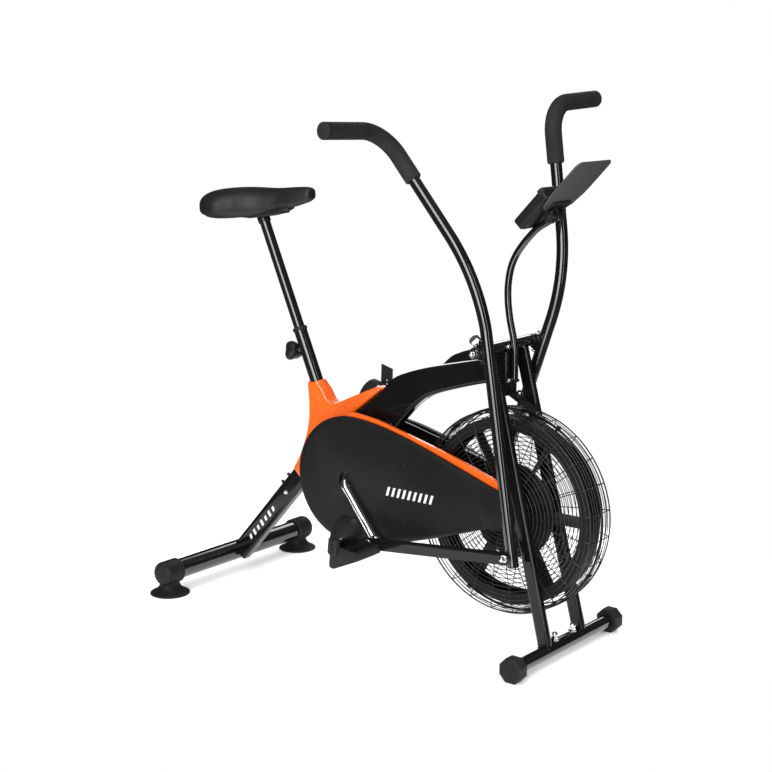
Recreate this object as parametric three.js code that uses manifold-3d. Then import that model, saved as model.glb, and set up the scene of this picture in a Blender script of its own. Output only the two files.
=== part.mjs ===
// An air bike: a fan in a round wire guard, driven by a chain from a one-piece crank, with two
// swinging handles, a saddle on a sliding post and a small computer with a tablet rest.
// Millimetres, +X is the rider's forward, +Y the rider's left, +Z up, floor at z = 0.
import * as THREE from "three";
import { mergeVertices } from "three/addons/utils/BufferGeometryUtils.js";
import Module from "manifold-3d";

const wasm = await Module();
wasm.setup();

// ---- driving dimensions (x is measured from the fan axle, z from the floor) ----
const FAN_X = 348.9; // fan axle, ahead of the middle of the footprint
const FAN_Z = 321;
const GAP = 0.4; // clearance between touching pieces

const GUARD_R = 238; // centre line of the guard's outermost ring
const GUARD_HALF = 41.5; // from the centre plane to the guard's edge rings
const GUARD_FACE = 50; // from the centre plane to the flat middle of each guard
const WIRE_R = 1.8;
const RING_R = 3.2; // thick ring where the two guards meet

const CRANK_X = -430;
const CRANK_Z = 339;
const CRANK_LENGTH = 165;
const CRANK_DROP = 52; // degrees below forward at rest, right arm
const CRANK_BAR_R = 9.5;
const CRANK_Y = 99; // centre line of a crank arm
const SPINDLE_R = 6;
const CHAIN_Y = 72; // chain line, on the right
const CHAINRING_R = 78;
const SPROCKET_R = 18;

const PIVOT_X = -24; // handle pivot
const PIVOT_Z = 702;
const HANDLE_Y = 111;
const HANDLE_R = 13.5;
const HANDLE_AHEAD = 29; // the handle tube passes this far in front of its pivot
const HANDLE_BELOW = 484;
const HANDLE_NEUTRAL = 5.4; // degrees of forward lean in mid swing
const HANDLE_REST = 14; // degrees of swing either side of it at rest
const HANDLE_BEND_R = 464; // the long bend above the pivot
const GRIP_BEND_R = 77; // the tight bend under the foam
const GRIP_START = 392; // the foam begins this high above the pivot, tube upright
const LUG_BOLT = [21, -463]; // x and z of the link's bolt from the pivot, tube upright

const LINK_Y = 128.5; // middle of the link bar's thickness
const LINK_THICK = 5;
const LINK_HALF = 15;

const SEAT_X = -592; // a point on the seat tube's axis
const SEAT_Z = 549;
const SEAT_LEAN = 23.3; // degrees rearwards
const POST_R = 13.5;
const SLEEVE_R = 16.5;

const REAR_X = -885;
const REAR_Z = 57;
const REAR_R = 25.4;
const REAR_HALF = 262; // to the tube's bare end
const FRONT_X = 144;
const FRONT_Z = 28;
const FRONT_R = 16;
const FRONT_HALF = 205;

const LEG_TOP = [-22, 62.6, 687]; // x, y, z of the left fork leg's ends
const LEG_FOOT = [140, 72, 44];
const COVER_R = 156; // round rear end of a chain cover
const COVER_FACE = 86; // from the centre plane to a cover's outer face
const COVER_BACK = 68;
const COVER_WALL = 2.5;
const STAY_IN = 54; // a stay lies between these distances from the centre plane
const STAY_OUT = 66;

const CONSOLE_X = 108; // console hinge
const CONSOLE_Z = 1004;
const CONSOLE_TILT = 46; // degrees from level of the console's back

const ORANGE = { color: 0xf2661a, roughness: 0.35, metalness: 0.2 };
const BLACK_PAINT = { color: 0x141415, roughness: 0.3, metalness: 0.3 };
const PLASTIC = { color: 0x1b1b1c, roughness: 0.55, metalness: 0 };
const RUBBER = { color: 0x18181a, roughness: 0.85, metalness: 0 };
const CHROME = { color: 0xd8dade, roughness: 0.12, metalness: 1 };
const STEEL = { color: 0x8d9094, roughness: 0.35, metalness: 1 };
const GLASS = { color: 0x56605c, roughness: 0.1, metalness: 0 };

const bike = new THREE.Group();
bike.position.x = FAN_X;

// ---- helpers ----
const rad = THREE.MathUtils.degToRad;
const at = (x, y, z) => new THREE.Vector3(x, y, z);

function toSolid(geometry) {
  const g = geometry.clone();
  g.deleteAttribute("normal");
  g.deleteAttribute("uv");
  const merged = mergeVertices(g, 1e-3);
  const vertProperties = merged.attributes.position.array;
  const triVerts = new Uint32Array(merged.index.array);
  return new wasm.Manifold(new wasm.Mesh({ numProp: 3, vertProperties, triVerts }));
}

function toGeometry(solid) {
  const m = solid.getMesh();
  const g = new THREE.BufferGeometry();
  g.setAttribute("position", new THREE.BufferAttribute(new Float32Array(m.vertProperties), 3));
  g.setIndex(new THREE.BufferAttribute(new Uint32Array(m.triVerts), 1));
  return g;
}

const join = (...shapes) => toGeometry(shapes.map(toSolid).reduce((a, b) => a.add(b)));
const cut = (shape, ...tools) =>
  toGeometry(tools.map(toSolid).reduce((a, b) => a.subtract(b), toSolid(shape)));

function add(name, geometry, finish) {
  const mesh = new THREE.Mesh(geometry, new THREE.MeshStandardMaterial(finish));
  mesh.name = name;
  bike.add(mesh);
}

// Places geometry made along +Z so that it runs from a along the direction d, its own Y near `up`.
function place(geometry, a, d, up = at(0, 1, 0)) {
  const z = d.clone().normalize();
  const x = up.clone().cross(z).normalize();
  const y = z.clone().cross(x);
  return geometry.applyMatrix4(new THREE.Matrix4().makeBasis(x, y, z).setPosition(a));
}

function rod(a, b, radius, sides = 20) {
  const length = a.distanceTo(b);
  const g = new THREE.CylinderGeometry(radius, radius, length, sides);
  g.rotateX(Math.PI / 2).translate(0, 0, length / 2);
  return place(g, a, b.clone().sub(a), Math.abs(b.z - a.z) > length * 0.99 ? at(1, 0, 0) : at(0, 0, 1));
}

// A rod along Y at x, z.
const pin = (x, z, y0, y1, radius, sides) => rod(at(x, y0, z), at(x, y1, z), radius, sides);

function hollow(a, b, outer, inner, sides = 20) {
  const d = b.clone().sub(a).normalize();
  const ends = [a.clone().addScaledVector(d, -1), b.clone().addScaledVector(d, 1)];
  return cut(rod(a, b, outer, sides), rod(ends[0], ends[1], inner, sides));
}

// A solid of revolution: profile holds [radius, height] pairs from the axis round to the axis.
function turned(profile, a, d, sides = 24) {
  const g = new THREE.LatheGeometry(profile.map(([r, h]) => new THREE.Vector2(r, h)), sides);
  return place(g.rotateX(Math.PI / 2), a, d, Math.abs(d.z) > 0.9 ? at(1, 0, 0) : at(0, 0, 1));
}

function ring(radius, wire, y, steps = 40, sides = 6) {
  const g = new THREE.TorusGeometry(radius, wire, sides, steps);
  return g.rotateX(Math.PI / 2).translate(0, y, FAN_Z);
}

// A curve whose even steps fall on its own points, so that straight stretches need no extra ones.
class Route extends THREE.CatmullRomCurve3 {
  getUtoTmapping(u) {
    return u;
  }
}

function regular(sides, radius, turn = 0) {
  return new THREE.Shape(
    Array.from({ length: sides }, (_, i) => {
      const t = ((i + turn) / sides) * 2 * Math.PI;
      return new THREE.Vector2(radius * Math.cos(t), radius * Math.sin(t));
    }),
  );
}

function pipe(points, radius, sides = 12) {
  const extrudePath = new Route(points, false, "centripetal");
  const steps = points.length - 1;
  return new THREE.ExtrudeGeometry(regular(sides, radius), { steps, extrudePath, bevelEnabled: false });
}

// A plate whose outline is drawn in x and z, between two y values, with its edges rounded.
function plate(outline, y0, y1, round = 0, segments = 2, curveSegments = 10) {
  const lo = Math.min(y0, y1);
  const thick = Math.abs(y1 - y0);
  const g = new THREE.ExtrudeGeometry(outline, {
    depth: thick - 2 * round,
    bevelEnabled: round > 0,
    bevelThickness: round,
    bevelSize: round,
    bevelOffset: -round,
    bevelSegments: segments,
    curveSegments,
  });
  // The shape's y becomes z, and its depth runs along -y.
  return g.rotateX(Math.PI / 2).translate(0, lo + thick - round, 0);
}

// Carries an outline on through these x, z points.
const curveTo = (shape, points) => shape.splineThru(points.map(([x, z]) => new THREE.Vector2(x, z)));

function polygon(points) {
  return new THREE.Shape(points.map(([x, z]) => new THREE.Vector2(x, z)));
}

function roundedRect(width, height, radius) {
  const s = new THREE.Shape();
  const w = width / 2 - radius;
  const h = height / 2 - radius;
  s.absarc(w, h, radius, 0, Math.PI / 2);
  s.absarc(-w, h, radius, Math.PI / 2, Math.PI);
  s.absarc(-w, -h, radius, Math.PI, 1.5 * Math.PI);
  s.absarc(w, -h, radius, 1.5 * Math.PI, 2 * Math.PI);
  s.closePath();
  return s;
}

// A straight bar of the given section; the section's y lies along the bike's Y.
function bar(shape, a, b, segments = 4) {
  const depth = a.distanceTo(b);
  const g = new THREE.ExtrudeGeometry(shape, { depth, bevelEnabled: false, curveSegments: segments });
  return place(g, a, b.clone().sub(a));
}

// A prism with `sides` flat sides, `flats` across, standing on one of them.
function prism(sides, flats, a, b) {
  const depth = a.distanceTo(b);
  const shape = regular(sides, flats / 2 / Math.cos(Math.PI / sides), 0.5);
  const g = new THREE.ExtrudeGeometry(shape, { depth, bevelEnabled: false });
  const up = Math.abs(b.z - a.z) > depth * 0.9 ? at(1, 0, 0) : at(0, 0, 1);
  return place(g, a, b.clone().sub(a), up);
}

const SIDES = [
  ["right", -1],
  ["left", 1],
];

// ---- places worked out from the driving dimensions ----
const seatUp = at(-Math.sin(rad(SEAT_LEAN)), 0, Math.cos(rad(SEAT_LEAN)));
const seatBack = at(-Math.cos(rad(SEAT_LEAN)), 0, -Math.sin(rad(SEAT_LEAN)));
const onSeat = (t, back = 0) =>
  at(SEAT_X, 0, SEAT_Z).addScaledVector(seatUp, t).addScaledVector(seatBack, back);
const SLEEVE_TOP = 137; // along the seat tube's axis
const SLEEVE_BOTTOM = -125;
const POST_TOP = 437;
const POST_BOTTOM = 24;
const KNOB_AT = 96;

// The pedal spindle on one side: the right crank arm points forward and down, the left one back and up.
function spindle(side) {
  const reach = -side * CRANK_LENGTH;
  const t = rad(CRANK_DROP);
  return at(CRANK_X + reach * Math.cos(t), 0, CRANK_Z - reach * Math.sin(t));
}

// ---- main frame ----
function mainFrame() {
  const s = new THREE.Shape();
  s.moveTo(-560, 548);
  s.lineTo(-610, 553);
  curveTo(s, [[-606, 500], [-607, 458], [-617, 413], [-640, 356], [-662, 320]]);
  s.lineTo(-625, 284);
  curveTo(s, [[-590, 268], [-535, 264], [-480, 280], [-430, 293]]);
  s.quadraticCurveTo(-384, 293, -384, 339);
  s.lineTo(-400, 400);
  s.lineTo(-448, 440);
  s.lineTo(-459, 492);
  s.lineTo(-376, 558);
  s.lineTo(-390, 565);
  s.lineTo(-528, 503);
  s.closePath();
  const body = plate(s, -21, 21, 6, 1, 2);
  const shell = pin(CRANK_X, CRANK_Z, -34, 34, 24, 20);
  const bore = pin(CRANK_X, CRANK_Z, -40, 40, 20, 20);
  const socket = rod(onSeat(SLEEVE_BOTTOM - GAP), onSeat(40), SLEEVE_R + GAP, 24);
  add("main_frame", cut(join(body, shell), bore, socket), ORANGE);
}

function bottomBracket() {
  for (const [name, side] of SIDES) {
    const inner = at(CRANK_X, side * 22, CRANK_Z);
    const out = at(0, side, 0);
    const bore = CRANK_BAR_R + 0.6;
    const profile = [[bore, 0], [19.6, 0], [19.6, 12.4], [23, 12.4], [23, 15.5], [bore, 15.5], [bore, 0]];
    add(name + "_bearing_cup", turned(profile, inner, out), STEEL);
  }
}

function topTube() {
  const s = new THREE.Shape();
  s.moveTo(-375, 557);
  curveTo(s, [[-340, 591], [-301, 609], [-250, 625], [-195, 638], [-135, 652], [-49, 672]]);
  s.lineTo(-49, 617);
  curveTo(s, [[-140, 592], [-224, 564], [-262, 541], [-293, 513], [-326, 478], [-352, 440]]);
  s.lineTo(-399, 400);
  s.lineTo(-447, 440);
  s.lineTo(-458, 491);
  s.closePath();
  const bridge = pin(-395, 452, -STAY_IN + GAP, STAY_IN - GAP, 11);
  add("top_tube", join(plate(s, -20, 20, 7, 1, 2), bridge), BLACK_PAINT);
}

function head() {
  const clear = pin(PIVOT_X, PIVOT_Z, -97, 97, HANDLE_R + GAP, 24);
  const column = bar(roundedRect(40, 40, 5), at(-28, 0, 590), at(-28, 0, 689));
  const ridge = [[-196, 641], [-168, 659], [-150, 669], [-120, 680], [-60, 692], [-34, 695]];
  const fin = polygon([...ridge, [-34, 676], [-135, 655]]);
  add("head_column", cut(join(column, plate(fin, -9, 9, 2)), clear), BLACK_PAINT);
  const tube = hollow(at(PIVOT_X, -96, PIVOT_Z), at(PIVOT_X, 96, PIVOT_Z), HANDLE_R, 7.6, 24);
  add("cross_tube", tube, BLACK_PAINT);
  const dome = [[0, 0], [9.5, 0], [9, 3], [6, 5.5], [0, 6.5]];
  const nuts = SIDES.flatMap(([, side]) => [
    prism(6, 22, at(PIVOT_X, side * 125.2, PIVOT_Z), at(PIVOT_X, side * 132, PIVOT_Z)),
    turned(dome, at(PIVOT_X, side * 131.5, PIVOT_Z), at(0, side, 0), 16),
  ]);
  const axle = pin(PIVOT_X, PIVOT_Z, -130, 130, 7, 16);
  add("pivot_axle", join(axle, ...nuts), CHROME);
  const out = at(-Math.cos(rad(38)), 0, Math.sin(rad(38)));
  const onTube = (r) => at(PIVOT_X, -84, PIVOT_Z).addScaledVector(out, r);
  const bolt = join(rod(onTube(14), onTube(24), 5, 12), prism(6, 22, onTube(22), onTube(42)));
  add("axle_lock_bolt", bolt, CHROME);
}

// ---- fork, fan brackets and stays ----
function fork() {
  const tubeClear = pin(PIVOT_X, PIVOT_Z, -97, 97, HANDLE_R + GAP, 20);
  const footClear = pin(FRONT_X, FRONT_Z, -100, 100, FRONT_R + 4, 20);
  const away = at(LEG_FOOT[0] - LEG_TOP[0], 0, LEG_FOOT[2] - LEG_TOP[2]).normalize();
  for (const [name, side] of SIDES) {
    const top = at(LEG_TOP[0], side * LEG_TOP[1], LEG_TOP[2]).addScaledVector(away, -4);
    const foot = at(LEG_FOOT[0], side * LEG_FOOT[1], LEG_FOOT[2]).addScaledVector(away, 2);
    const leg = cut(bar(roundedRect(32, 18, 7), top, foot), tubeClear, footClear);
    add(name + "_leg", leg, BLACK_PAINT);
    axleBracket(name, side);
  }
}

function axleBracket(name, side) {
  const rear = [[16, 338], [-6, 342], [-16, 334], [-18, 308], [8, 297]];
  const body = plate(polygon([...rear, [96, 262], [89, 290], [68, 315]]), side * 54.2, side * 58.2, 1);
  const housing = pin(0, FAN_Z, side * 45, side * 58.2, 15, 20);
  const bore = pin(0, FAN_Z, side * 40, side * 62, 8.6, 20);
  add(name + "_axle_bracket", cut(join(body, housing), bore), BLACK_PAINT);
}

// A curved stay from the frame's bridge to a fork leg, over the fan's axle.
function stay(name, side, drop, finish) {
  const top = [[-445, 497], [-419, 503], [-355, 496], [-290, 481], [-197, 458], [-104, 433], [-7, 403]];
  const slant = (LEG_FOOT[0] - LEG_TOP[0]) / (LEG_TOP[2] - LEG_FOOT[2]);
  const legX = (z) => LEG_TOP[0] + slant * (LEG_TOP[2] - z);
  const endTop = 387 - drop;
  const endBottom = 360 - drop;
  const s = new THREE.Shape();
  s.moveTo(-445, 497 - drop);
  curveTo(s, top.slice(1).map(([x, z]) => [x, z - drop]));
  s.lineTo(legX(endTop) - 19, endTop);
  s.lineTo(legX(endBottom) - 19, endBottom);
  curveTo(s, top.toReversed().map(([x, z]) => [x, z - 28 - drop]));
  s.closePath();
  add(name, plate(s, side * STAY_IN, side * STAY_OUT, 3, 1, 2), finish);
}

function frontStabilizer() {
  const end = (y) => at(FRONT_X, y, FRONT_Z);
  const tube = hollow(end(-FRONT_HALF), end(FRONT_HALF), FRONT_R, FRONT_R - 2.5, 20);
  add("front_stabilizer", tube, BLACK_PAINT);
  const band = new THREE.Shape();
  band.absarc(FRONT_X, FRONT_Z, FRONT_R + 3.4, rad(25), rad(155), false);
  band.absarc(FRONT_X, FRONT_Z, FRONT_R + GAP, rad(155), rad(25), true);
  band.closePath();
  add("fork_saddle", plate(band, -84, 84), BLACK_PAINT);
  for (const [name, side] of SIDES) {
    const cap = prism(8, 2 * FRONT_Z, end(side * 190), end(side * 221));
    const bore = pin(FRONT_X, FRONT_Z, side * 180, side * (FRONT_HALF + 1), FRONT_R + GAP, 20);
    add(name + "_front_cap", cut(cap, bore), RUBBER);
    const seat = FRONT_Z + FRONT_R + 3.4 + GAP;
    const acorn = [[0, 0], [10, 0], [10, 2], [7.5, 2.5], [7.5, 11], [6, 16], [3, 19], [0, 20]];
    add(name + "_fork_bolt", turned(acorn, at(FRONT_X, side * 38, seat), at(0, 0, 1), 16), CHROME);
  }
}

function rearEnd() {
  const tubeClear = pin(REAR_X, REAR_Z, -60, 60, REAR_R + GAP, 24);
  const leg = bar(roundedRect(50, 30, 6), at(-866, 0, 56.5), at(-644.6, 0, 301.4));
  add("rear_leg", cut(leg, tubeClear), BLACK_PAINT);
  const end = (y) => at(REAR_X, y, REAR_Z);
  const tube = hollow(end(-REAR_HALF), end(REAR_HALF), REAR_R, REAR_R - 2.5, 24);
  add("rear_stabilizer", tube, BLACK_PAINT);
  const cup = [[0, 40], [REAR_R + GAP, 40], [REAR_R + GAP, 0], [31, 0], [31, 50], [26, 57], [0, 57]];
  const foot = [[0, 0], [51, 0], [51, 3], [40, 9], [27, 20], [25, 36], [0, 36]];
  for (const [name, side] of SIDES) {
    const start = end(side * (REAR_HALF - 40 + GAP));
    add(name + "_rear_cap", turned(cup, start, at(0, side, 0), 24), RUBBER);
    const pad = turned(foot, at(REAR_X - 3, side * 246, 0), at(0, 0, 1), 24);
    add(name + "_rear_foot", cut(pad, pin(REAR_X, REAR_Z, side * 200, side * 300, 31 + GAP, 24)), RUBBER);
  }
}

// ---- chain side ----
function coverOutline(inset) {
  const r = COVER_R - inset;
  const nose = 42 - inset;
  const s = new THREE.Shape();
  s.absarc(CRANK_X, CRANK_Z, r, Math.PI / 2, 1.5 * Math.PI, false);
  s.bezierCurveTo(-320, CRANK_Z - r, -190, CRANK_Z - 108 + inset, 4, CRANK_Z - nose - 1);
  s.absarc(6, CRANK_Z, nose, -1.4, 1.4, false);
  s.bezierCurveTo(-190, CRANK_Z + 108 - inset, -320, CRANK_Z + r, CRANK_X, CRANK_Z + r);
  return s;
}

function cover(name, side, inset) {
  const outer = plate(coverOutline(inset), side * COVER_BACK, side * COVER_FACE, 3, 1, 6);
  const swell = [[0, 0], [30, 0], [27, 2.4], [18, 4], [0, 4.5]];
  const bulge = turned(swell, at(0, side * (COVER_FACE - 0.5), 330), at(0, side, 0));
  const hollowed = coverOutline(inset + COVER_WALL);
  const inner = plate(hollowed, side * (COVER_BACK - 8), side * (COVER_FACE - COVER_WALL), 0, 1, 6);
  const hole = pin(CRANK_X, CRANK_Z, side * 60, side * 95, 21, 20);
  add(name, cut(join(outer, bulge), inner, hole), PLASTIC);
}

function chain() {
  // A belt line round the chainring and the sprocket, `out` beyond their rims.
  const belt = (out) => {
    const [r1, r2] = [CHAINRING_R + out, SPROCKET_R + out];
    const [dx, dz] = [-CRANK_X, FAN_Z - CRANK_Z];
    const across = Math.atan2(dz, dx);
    const open = Math.acos((r1 - r2) / Math.hypot(dx, dz));
    const s = new THREE.Shape();
    s.absarc(CRANK_X, CRANK_Z, r1, across + open, across - open + 2 * Math.PI, false);
    s.absarc(0, FAN_Z, r2, across - open, across + open, false);
    s.closePath();
    return s;
  };
  const outer = plate(belt(3.6), -CHAIN_Y - 3, -CHAIN_Y + 3, 0, 1, 12);
  const inner = plate(belt(0.5), -CHAIN_Y - 5, -CHAIN_Y + 5, 0, 1, 12);
  add("chain", cut(outer, inner), STEEL);
}

// ---- crank ----
function crank() {
  const hub = (y) => at(CRANK_X, y, CRANK_Z);
  const shapes = [rod(hub(-CRANK_Y), hub(CRANK_Y), CRANK_BAR_R, 12)];
  for (const [, side] of SIDES) {
    const tip = spindle(side).setY(side * CRANK_Y);
    const elbow = new THREE.SphereGeometry(CRANK_BAR_R, 12, 8).translate(CRANK_X, side * CRANK_Y, CRANK_Z);
    shapes.push(elbow, rod(hub(side * CRANK_Y), tip, CRANK_BAR_R, 12));
    shapes.push(pin(tip.x, tip.z, side * 91, side * 108, 14, 14));
    shapes.push(pin(tip.x, tip.z, side * 106, side * 212, SPINDLE_R, 12));
  }
  add("crank", join(...shapes), CHROME);
}

function chainring() {
  const disc = pin(CRANK_X, CRANK_Z, -CHAIN_Y - 1.5, -CHAIN_Y + 1.5, CHAINRING_R, 24);
  const boss = pin(CRANK_X, CRANK_Z, -CHAIN_Y - 5, -CHAIN_Y + 14, 17, 20);
  const bore = pin(CRANK_X, CRANK_Z, -100, -40, CRANK_BAR_R + GAP, 16);
  const windows = Array.from({ length: 5 }, (_, i) => {
    const t = (i / 5) * 2 * Math.PI;
    return pin(CRANK_X + 47 * Math.cos(t), CRANK_Z + 47 * Math.sin(t), -80, -60, 18, 10);
  });
  add("chainring", cut(join(disc, boss), bore, ...windows), STEEL);
}

// A pedal on its spindle, drawn level and then tipped forward by `tip` degrees. The tail is its strap's loose end.
function pedal(name, side, tip, tail) {
  const centre = spindle(side);
  const y = (inner) => side * (134.5 + inner);
  const box = (x0, x1, y0, y1, z0, z1) =>
    plate(polygon([[x0, z0], [x1, z0], [x1, z1], [x0, z1]]), y(y0), y(y1), 1.2, 1);
  const counterweight = [[-43, -6], [-43, -46], [-37, -52], [-28, -52], [40, -13], [42, -6]];
  const frame = join(
    pin(0, 0, y(0), y(86), 9, 14),
    box(-45, -33, 0, 86, -9, 9),
    box(33, 45, 0, 86, -9, 9),
    box(-45, 45, 0, 5, -9, 9),
    box(-45, 45, 81, 86, -9, 9),
    plate(polygon(counterweight), y(14), y(82), 1.2, 1),
  );
  const body = cut(frame, pin(0, 0, y(-2), y(81), SPINDLE_R + 0.5, 12));
  const strapOf = (grow) => {
    const s = new THREE.Shape();
    s.absellipse(y(43), 9.6, 44 + grow, 62 + grow, 0, Math.PI, false, 0);
    return s;
  };
  const strapPlate = (shape, x0, x1) => {
    const g = new THREE.ExtrudeGeometry(shape, { depth: x1 - x0, bevelEnabled: false, curveSegments: 18 });
    const upright = new THREE.Matrix4().makeBasis(at(0, 1, 0), at(0, 0, 1), at(1, 0, 0));
    return g.applyMatrix4(upright).translate(x0, 0, 0);
  };
  const loop = cut(strapPlate(strapOf(0), -44, -12), strapPlate(strapOf(-3), -46, -10));
  const arch = cut(loop, box(-60, 60, -10, 96, -20, 9.6));
  const strap = join(arch, plate(polygon(tail), y(86.4), y(89.4)));
  const posed = (g) => g.rotateY(rad(tip)).translate(centre.x, 0, centre.z);
  add(name + "_pedal", posed(body), PLASTIC);
  add(name + "_pedal_strap", posed(strap), RUBBER);
}

// ---- handles ----
const handleLean = (side) => HANDLE_NEUTRAL + side * HANDLE_REST;

// The handle tube's centre line, pivot at the origin, tube upright, for the left side.
function handleRoute() {
  const bend = rad(29);
  const splay = Math.tan(rad(4.5));
  const points = [];
  const put = (x, z) => points.push(at(x, HANDLE_Y + Math.max(0, z - 50) * splay, z));
  put(HANDLE_AHEAD, -HANDLE_BELOW);
  put(HANDLE_AHEAD, 20);
  for (let i = 0; i <= 6; i++) {
    const t = (bend * i) / 6;
    put(HANDLE_AHEAD - HANDLE_BEND_R * (1 - Math.cos(t)), 43 + HANDLE_BEND_R * Math.sin(t));
  }
  const up = at(-Math.sin(bend), splay * Math.cos(bend), Math.cos(bend)).normalize();
  const top = points.at(-1);
  for (const far of [139, 145, 211]) points.push(top.clone().addScaledVector(up, far));
  const out = at(-0.026, 1, 0.037).normalize();
  const inward = out.clone().addScaledVector(up, -up.dot(out)).normalize();
  const centre = points.at(-1).clone().addScaledVector(inward, GRIP_BEND_R);
  const turn = up.angleTo(out);
  for (let i = 1; i <= 5; i++) {
    const t = (turn * i) / 5;
    const across = centre.clone().addScaledVector(up, GRIP_BEND_R * Math.sin(t));
    points.push(across.addScaledVector(inward, -GRIP_BEND_R * Math.cos(t)));
  }
  const straight = points.at(-1);
  for (const far of [60, 126]) points.push(straight.clone().addScaledVector(out, far));
  return points;
}

function handle(name, side) {
  const route = handleRoute().map((p) => at(p.x, side * p.y, p.z));
  const posed = (g) => g.rotateY(rad(handleLean(side))).translate(PIVOT_X, 0, PIVOT_Z);
  const sleeve = rod(at(0, side * 97, 0), at(0, side * 124.5, 0), HANDLE_R, 24);
  const gusset = polygon([[2, -17], [HANDLE_AHEAD, -24], [HANDLE_AHEAD, 24], [2, 17]]);
  const lug = plate(gusset, side * 104, side * 118, 2, 1);
  const boss = pin(...LUG_BOLT, side * 118, side * 125.4, 8, 14);
  const eye = rod(at(0, side * 90, 0), at(0, side * 130, 0), 7.4, 20);
  const inside = [at(HANDLE_AHEAD, side * HANDLE_Y, -HANDLE_BELOW - 5), ...route.slice(1, -1)];
  const wall = cut(pipe(route, HANDLE_R, 10), pipe(inside, HANDLE_R - 2.2, 8));
  const tube = cut(join(wall, sleeve, lug, boss), eye);
  add(name + "_handle", posed(tube), BLACK_PAINT);

  const first = route.findIndex((p) => p.z > GRIP_START);
  const foam = route.slice(first);
  const end = foam.at(-1).clone();
  foam.push(end.clone().add(at(0, side * 8, 0)));
  const bore = [...route.slice(first - 1, -1), end.add(at(0, side * GAP, 0))];
  const grip = cut(pipe(foam, 19.5, 10), pipe(bore, HANDLE_R + 0.8, 10));
  add(name + "_grip", posed(grip), RUBBER);
}

function link(name, side) {
  const rear = spindle(side);
  const front = at(LUG_BOLT[0], 0, LUG_BOLT[1]).applyAxisAngle(at(0, 1, 0), rad(handleLean(side)));
  front.add(at(PIVOT_X, 0, PIVOT_Z));
  const lean = Math.atan2(front.z - rear.z, front.x - rear.x);
  const s = new THREE.Shape();
  s.absarc(rear.x, rear.z, LINK_HALF, lean + Math.PI / 2, lean + 1.5 * Math.PI, false);
  s.absarc(front.x, front.z, LINK_HALF, lean - Math.PI / 2, lean + Math.PI / 2, false);
  s.closePath();
  const inner = side * (LINK_Y - LINK_THICK / 2);
  const outer = side * (LINK_Y + LINK_THICK / 2);
  const hole = (p, radius) => pin(p.x, p.z, side * 120, side * 140, radius, 14);
  const made = cut(plate(s, inner, outer, 0, 1, 6), hole(rear, SPINDLE_R + 0.6), hole(front, 5));
  add(name + "_link", made, BLACK_PAINT);
}

// ---- fan and guard ----
function fan() {
  const axle = pin(0, FAN_Z, -80, 64, 8, 18);
  add("fan_axle", axle, STEEL);
  const teeth = pin(0, FAN_Z, -CHAIN_Y - 1.5, -CHAIN_Y + 1.5, SPROCKET_R, 24);
  const sprocket = join(teeth, pin(0, FAN_Z, -77, -62, 14, 18));
  add("fan_sprocket", cut(sprocket, pin(0, FAN_Z, -85, -55, 8 + GAP, 18)), STEEL);

  const outside = [[194, -24], [220, -24], [220, 24], [194, 24]];
  const inside = [[194, 21.5], [217, 21.5], [217, -21.5], [194, -21.5], [194, -24]];
  const rim = turned([...outside, ...inside], at(0, 0, FAN_Z), at(0, 1, 0), 24);
  const hub = pin(0, FAN_Z, -30, 30, 24, 20);
  const disc = pin(0, FAN_Z, -1.5, 1.5, 112, 24);
  const blades = Array.from({ length: 6 }, (_, i) => {
    const blade = new THREE.BoxGeometry(202, 46, 3).translate(117, 0, 0);
    return blade.rotateX(rad(14)).rotateY((i / 6) * 2 * Math.PI).translate(0, 0, FAN_Z);
  });
  const bore = pin(0, FAN_Z, -35, 35, 8 + GAP, 18);
  add("fan_wheel", cut(join(rim, hub, disc, ...blades), bore), PLASTIC);
}

// How far a guard's wires stand from the centre plane at a given radius.
const guardFall = (r) => Math.max(0, (r - 120) / (GUARD_R - 124)) ** 2;
const guardDepth = (r) => GUARD_FACE - (GUARD_FACE - GUARD_HALF) * guardFall(r);

function guard(name, side) {
  const rings = [36, 130, GUARD_R - 4].map((r) => ring(r, WIRE_R, side * guardDepth(r), r < 60 ? 12 : 24, 4));
  const wires = Array.from({ length: 6 }, (_, i) => {
    const points = [36, 130, 190, GUARD_R - 4].map((r) => at(r, side * guardDepth(r), 0));
    points.push(at(GUARD_R, side * (GUARD_HALF - 6), 0), at(GUARD_R, side * 4.5, 0));
    return pipe(points, WIRE_R * 0.9, 4).rotateY(((i + 0.5) / 6) * 2 * Math.PI).translate(0, 0, FAN_Z);
  });
  add(name + "_guard", join(...rings, ...wires), BLACK_PAINT);
}

function guardRing() {
  const clips = [60, 150, 240, 330].map((deg) => {
    const clip = new THREE.BoxGeometry(9, 7, 16).translate(GUARD_R + 1.5, 0, 0);
    return clip.rotateY(rad(-deg)).translate(0, 0, FAN_Z);
  });
  add("guard_ring", join(ring(GUARD_R, RING_R, 0, 32, 5), ...clips), BLACK_PAINT);
  const arm = polygon([[-7.6, 622], [-2.6, 622], [-2.6, 596], [64, 560], [61.5, 556], [-7.6, 592]]);
  const eye = new THREE.TorusGeometry(8, 2.5, 6, 12).rotateX(Math.PI / 2).translate(16, 0, 594);
  add("guard_bracket", join(plate(arm, -14, 14, 1, 1), eye), BLACK_PAINT);
}

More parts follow.
